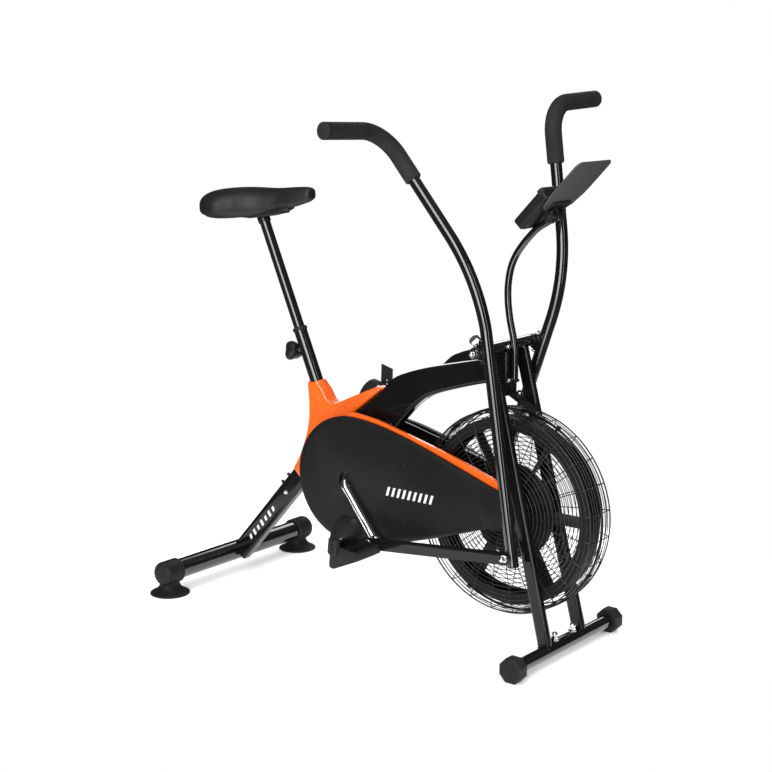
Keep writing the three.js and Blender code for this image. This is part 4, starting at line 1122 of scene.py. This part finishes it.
# ---- saddle and its post ----
def seat():
    skin = wall(POST_R + 0.6, SLEEVE_R, SLEEVE_TOP - SLEEVE_BOTTOM)
    sleeve = Piece().turned(skin, on_seat(SLEEVE_BOTTOM), SEAT_UP, 56, closed=True)
    sleeve.rod(on_seat(KNOB_AT, 8), on_seat(KNOB_AT, 27), 9)
    inside = Piece().rod(on_seat(SLEEVE_BOTTOM - 5), on_seat(SLEEVE_TOP + 5), POST_R + 0.6, 56)
    sleeve.cut(inside, Piece().rod(on_seat(KNOB_AT, 5), on_seat(KNOB_AT, 40), 4.3))
    bead = [on_seat(KNOB_AT + u, (SLEEVE_R**2 - v * v) ** 0.5, v) for u, v in circle(9.6, 36)]
    seam(sleeve, bead, 1.3)
    sleeve.done("seat_tube", "frame", tube_paint)
    lip = [(POST_R + 0.5, 0), (18, 0), (18.5, 0.6), (18.5, 7), (17.6, 8.4), (15.4, 9), (POST_R + 0.5, 9)]
    bush = Piece().turned(lip, on_seat(SLEEVE_TOP + 0.3), SEAT_UP, 56, closed=True)
    bush.done("seat_bush", "frame", plastic)

    skin = wall(POST_R - 2, POST_R, POST_TOP - POST_BOTTOM)
    post = Piece().turned(skin, on_seat(POST_BOTTOM), SEAT_UP, 56, closed=True)
    holes = [Piece().rod(on_seat(71 + 25 * i, 5), on_seat(71 + 25 * i, 20), 4.3, 24) for i in range(6)]
    post.cut(*holes).done("seat_post", "seat", tube_paint)

    knob, turns = Piece(), [2 * pi * i / 72 for i in range(72)]
    bell = [(0.6, 28), (0.72, 30), (0.84, 34), (0.94, 39), (0.99, 45), (1, 50), (0.96, 53.6)]
    bell += [(0.86, 55.4), (0.7, 56)]
    knob.loft([
        [on_seat(KNOB_AT, h) + (SEAT_UP * cos(t) + Y * sin(t)) * k * (23 + 4.2 * cos(3 * t)) for t in turns]
        for k, h in bell
    ])
    knob.done("seat_knob", "height_pin", plastic)
    stem = Piece().rod(on_seat(KNOB_AT, 15.2), on_seat(KNOB_AT, 31), 3.6, 24)
    stem.done("knob_stem", "height_pin", steel, extra=True)


SADDLE_BACK, SADDLE_NOSE = -930, -601
SADDLE_WIDTHS = ((0, 88), (0.12, 116), (0.3, 116), (0.5, 61), (0.7, 33.5), (0.88, 27), (1, 22))


def saddle_half(way):
    pts = curve([(a * 100, 0, w) for a, w in SADDLE_WIDTHS], 24)
    best = min(pts, key=lambda p: abs(p.x - way * 100))
    return best.z


def saddle():
    """A stuffed top over a shallow shell."""
    top, shell = Piece(), Piece()
    stations = 64
    around = 48

    def section(i, shrink, low, high):
        way = 0.5 - 0.5 * cos(pi * i / stations)
        cap = max(0.0, 1 - (2 * way - 1) ** 2) ** 0.5
        blunt = max(cap, 1e-3) ** (0.36 if way < 0.5 else 0.24)
        middle = 978 + 38 * way - 4 * sin(pi * way) ** 2 + 5 * max(0, way - 0.6)
        thick = 46.6 - 23.7 * way
        half = saddle_half(way)
        x = SADDLE_BACK + way * (SADDLE_NOSE - SADDLE_BACK)
        ring = []
        for k in range(around):
            c, s = cos(2 * pi * k / around), sin(2 * pi * k / around)
            square = 2.3 if s > 0 else 3.4
            j = (abs(c) ** square + abs(s) ** square) ** (-1 / square)
            y = (half * blunt - shrink) * c * j
            up = s * j * blunt
            z = middle + up * thick * (high if up > 0 else low)
            if up > 0:
                z -= 5 * (1 - min(1, abs(y) / 34)) ** 2 * max(0, 1 - abs(way - 0.62) * 2.6)
            ring.append(at(x, y, z))
        return ring

    top.loft([section(i, 0, 0.86, 1.0) for i in range(stations + 1)])
    made = top.done("saddle", "seat", vinyl, 60)
    shell.loft([section(i, 9, 0.98, -0.3) for i in range(5, stations - 4)])
    pan = [(-850, 962, 26), (-830, 951, 33), (-790, 950, 32), (-740, 957, 26), (-700, 966, 20)]
    pan.append((-672, 978, 14))
    shell.loft([[at(x, y * w / 34, z + 16 + v) for y, v in rectangle(68, 32, 9)] for x, z, w in pan])
    shell.done("saddle_shell", "seat", plastic, 60, extra=True)
    clamp = Piece()
    collar = [(POST_R + 0.4, 0), (15.6, 0), (16.2, 0.7), (16.2, 15.3), (15.6, 16), (0.5, 16)]
    collar += [(0.5, 10.6), (POST_R + 0.4, 10.6)]
    clamp.turned(collar, on_seat(POST_TOP - 10), SEAT_UP, 48, closed=True)
    clamp.plate([(-797, 954), (-690, 967), (-692, 973), (-799, 961)], -16, 16, 1.4, 2)
    for s in (-1, 1):
        bolt_head(clamp, on_seat(POST_TOP - 2, 0, s * 15.8), Y * s, 4.6, 2.6)
    clamp.done("saddle_clamp", "seat", black)


# ---- console ----
SLOPE = at(cos(CONSOLE_TILT), 0, sin(CONSOLE_TILT))
FACING = at(-sin(CONSOLE_TILT), 0, cos(CONSOLE_TILT))
HINGE = at(CONSOLE_X, 0, CONSOLE_Z)


def on_console(s, y, n):
    return HINGE + SLOPE * s + Y * y + FACING * n


def slab(piece, s0, s1, half, n0, n1, radius, bevel=1.2, taper=0.0):
    """A rounded plate in the console's tilted frame; taper narrows its lower end."""
    outline = []
    for u, v in rectangle(2 * half, s1 - s0, radius, 8):
        k = 1 - taper * (0.5 - v / (s1 - s0))
        outline.append((u * k, v))
    return piece.prism(outline, on_console((s0 + s1) / 2, 0, n0), FACING, n1 - n0, bevel, SLOPE)


def console_post():
    route = [(0.6, 626), (0.6, 645), (0.6, 665), (0, 695), (-4, 722), (-14, 764), (-20, 808), (-19, 850)]
    route += [(-9, 892), (14, 930), (52, 970), (84, 990), (CONSOLE_X, CONSOLE_Z)]
    line = curve([(x, 0, z) for x, z in route], 6)
    post = Piece().tube(line, 8, 32)
    post.turned(pipe(5, 10.4, 24), at(CONSOLE_X, -12, CONSOLE_Z), Y, 40, closed=True)
    post.plate([(-7, 622), (9, 622), (9, 628), (-7, 628)], -8, 8, 1)
    post.done("console_post", "frame", tube_paint, 50)


def console():
    bracket = Piece()
    for side in (-1, 1):
        pin(bracket, CONSOLE_X, CONSOLE_Z, side * 12.5, side * 17, 12)
        bracket.prism(rectangle(4.5, 26, 1), on_console(4, side * 14.75, 0), FACING, 12, 0.6, SLOPE)
    slab(bracket, -3, 32, 36, 11, 14.1, 5, 1)
    for s, y in ((2, -30), (2, 30), (27, -30), (27, 30)):
        bolt_head(bracket, on_console(s, y, 11), -FACING, 3, 2)
    pin(bracket, CONSOLE_X, CONSOLE_Z, -16, -30, 6)
    bracket.done("console_bracket", "console", plastic)
    star = Piece()
    outline = []
    for i in range(72):
        a = 2 * pi * i / 72
        r = 13.4 + 2.6 * cos(6 * a)
        outline.append((r * cos(a), r * sin(a)))
    star.prism(outline, at(CONSOLE_X, -26, CONSOLE_Z), -Y, 12, 2, Z)
    star.turned([(6, 0), (6, 1.4), (4.6, 2), (0.5, 2.1)], at(CONSOLE_X, -38, CONSOLE_Z), -Y, 24)
    star.done("console_knob", "console", plastic, extra=True)

    plate = Piece()
    outline = [(-42, -74.5), (42, -74.5), (57, -62), (68, -30), (70, -10), *arc(54, 58.5, 16, 0, 90, 10)]
    outline += [*arc(-54, 58.5, 16, 90, 180, 10), (-70, -10), (-68, -30), (-57, -62)]
    plate.prism(outline, on_console(78.5, 0, 14.5), FACING, 3.5, 1.1, SLOPE)
    plate.done("tablet_plate", "console", grey_plastic)
    ledge = slab(Piece(), 34, 39, 50, 18.2, 26, 2, 1)
    ledge.done("tablet_ledge", "console", grey_plastic, extra=True)

    case = slab(Piece(), -72, 33, 45, 27.4, 54, 9, 4.5)
    slab(case, -66, 28, 41, 24, 29, 7, 2)
    slab(case, -2, 30, 34, 18.4, 27, 4, 1)
    hood = [(-46, 26), (-46, 34), (-40, 40), (40, 40), (46, 34), (46, 26)]
    case.prism([(u, v - 5.4) for u, v in hood], on_console(0, 0, 44), FACING, 13, 3, SLOPE)
    window, well = Piece(), Piece()
    slab(window, -30, 22, 32, 51, 80, 3, 0)
    slab(well, -60, -44, 10, 49, 80, 5, 0)
    lip = Piece()
    slab(lip, -34, 26, 36, 53, 80, 5, 0)
    case.cut(lip, window, well)
    for s, y in ((-62, -36), (-62, 36), (14, -38), (14, 38)):
        bolt_head(case, on_console(s, y, 24.3), -FACING, 2.6, 1.6)
    case.done("console_case", "console", plastic)
    slab(Piece(), -29.5, 21.5, 31.5, 51.2, 53, 3, 0.4).done("console_lens", "console", screen)
    slab(Piece(), -59, -45, 9, 50.5, 56, 4.5, 1.4).done("mode_button", "button", grey_plastic)


# ---- setting ----
# The room's brightness from straight down to straight up, and its upright light boxes: each one's
# direction in degrees, half width in degrees and brightness.
ROOM_TONES = ((0.0, 0.2), (0.48, 0.06), (0.56, 0.03), (0.75, 0.06), (1.0, 0.25))
DIFFUSE_SKY = 1.2
SOFTBOXES = ((27, 5, 9.0), (8, 4, 7.0))


def setting():
    bpy.ops.mesh.primitive_plane_add(size=1.9, location=(0, 0, 0))
    floor = bpy.context.object
    floor.name = "floor"
    material, tree, surface, place = shader("floor")
    haze = texture(tree, place, "Noise", 2, Detail=3.0)
    pale = mixed(tree, haze.outputs["Fac"], (0.94, 0.94, 0.94), (0.96, 0.96, 0.96))
    tree.links.new(pale, surface.inputs["Base Color"])
    surface.inputs["Roughness"].default_value = 0.9
    surface.inputs["Specular IOR Level"].default_value = 0.1
    floor.data.materials.append(material)


def lamp(name, spot, aim, size, power, tall=None):
    data = bpy.data.lights.new(name, "AREA")
    data.energy = power
    data.shape = "RECTANGLE" if tall else "SQUARE"
    data.size = size
    if tall:
        data.size_y = tall
    obj = bpy.data.objects.new(name, data)
    bpy.context.scene.collection.objects.link(obj)
    obj.location = spot
    obj.rotation_euler = (Vector(aim) - Vector(spot)).to_track_quat("-Z", "Y").to_euler()
    obj.visible_camera = False


def world():
    """White behind the bike and on the floor, and a dim room with paler bands for its gloss to mirror."""
    made = bpy.data.worlds.new("studio")
    bpy.context.scene.world = made
    made.use_nodes = True
    tree = made.node_tree
    room = tree.nodes["Background"]
    coords = tree.nodes.new("ShaderNodeTexCoord")
    split = tree.nodes.new("ShaderNodeSeparateXYZ")
    tree.links.new(coords.outputs["Generated"], split.inputs["Vector"])
    ramp = tree.nodes.new("ShaderNodeValToRGB")
    tree.links.new(spread(tree, split.outputs["Z"], 0, 1, -1, 1), ramp.inputs["Fac"])
    for i, (where, tone) in enumerate(ROOM_TONES):
        stop = ramp.color_ramp.elements[i] if i < 2 else ramp.color_ramp.elements.new(where)
        stop.position = where
        stop.color = (tone, tone, tone, 1)
    tone = ramp.outputs["Color"]
    level = vector_step(tree, "MULTIPLY", coords.outputs["Generated"], (1, 1, 0))
    heading = vector_step(tree, "NORMALIZE", level)
    for degrees, half, strength in SOFTBOXES:
        box = (sin(radians(degrees)), -cos(radians(degrees)), 0)
        facing = vector_step(tree, "DOT_PRODUCT", heading, box)
        share = spread(tree, facing, 0, 1, cos(radians(half + 1)), cos(radians(half)))
        tone = mixed(tree, share, tone, (strength, strength, strength))
    tree.links.new(tone, room.inputs["Color"])
    rays = tree.nodes.new("ShaderNodeLightPath")
    surface = room.outputs["Background"]
    for ray, strength in (("Is Diffuse Ray", DIFFUSE_SKY), ("Is Camera Ray", 1.0)):
        white = tree.nodes.new("ShaderNodeBackground")
        white.inputs["Color"].default_value = (1, 1, 1, 1)
        white.inputs["Strength"].default_value = strength
        choose = tree.nodes.new("ShaderNodeMixShader")
        tree.links.new(rays.outputs[ray], choose.inputs["Fac"])
        tree.links.new(surface, choose.inputs[1])
        tree.links.new(white.outputs["Background"], choose.inputs[2])
        surface = choose.outputs["Shader"]
    tree.links.new(surface, tree.nodes["World Output"].inputs["Surface"])


def camera():
    """Stands off to the bike's front right, a little above the fan."""
    around, above, roll = radians(38.479), radians(11.3988), radians(0.1885)
    back = at(sin(around) * cos(above), -cos(around) * cos(above), sin(above))
    right = at(cos(around), sin(around), 0)
    up = back.cross(right)
    level = right * cos(roll) - up * sin(roll)
    plumb = right * sin(roll) + up * cos(roll)
    data = bpy.data.cameras.new("camera")
    data.lens, data.sensor_width = 74.106, 36
    obj = bpy.data.objects.new("camera", data)
    bpy.context.scene.collection.objects.link(obj)
    turn = Matrix((level, plumb, back)).transposed().to_4x4()
    obj.matrix_world = Matrix.Translation((2.3235, -2.9529, 1.3265)) @ turn
    bpy.context.scene.camera = obj


main_frame()
top_tube()
head()
fork()
stay("right_stay", -1, 0, orange)
stay("left_stay", 1, 28, black)
front_stabilizer()
rear_end()
cover("right_chain_cover", -1, 0)
cover("left_chain_cover", 1, 17)
emblem()
drive()
crank()
low_tail = [(-44, 24), (-44, -12), (-38, -17), (-24, -17), (-18, -12), (-16, 24)]
high_tail = [(-36, -4), (4, -4), (-18, 86), (-56, 86)]
pedal("right", -1, 6, 60.4, low_tail, ((-31, -9), (-31, 20)))
pedal("left", 1, 15, 44, high_tail, ((-21, 20), (-28, 50)))
for side_name, side_sign in SIDES:
    handle(side_name, side_sign)
    link(side_name, side_sign)
    guard(side_name, side_sign)
fan()
guard_ring()
seat()
saddle()
console_post()
console()

setting()
world()
target = (-0.05, 0, 0.6)
lamp("key", (1.6, -3.2, 3.4), target, 1.6, 6)
lamp("fill", (1.3, -3.7, 1.6), target, 1.8, 50, 2.6)
lamp("strip_right", (3.4, -0.9, 1.4), target, 0.2, 16, 2.6)
lamp("rim", (-1.5, 3.4, 2.6), target, 1.6, 30)
lamp("top", (0, 0, 4.2), target, 2.0, 18)
camera()
bpy.context.scene.view_settings.view_transform = "Standard"
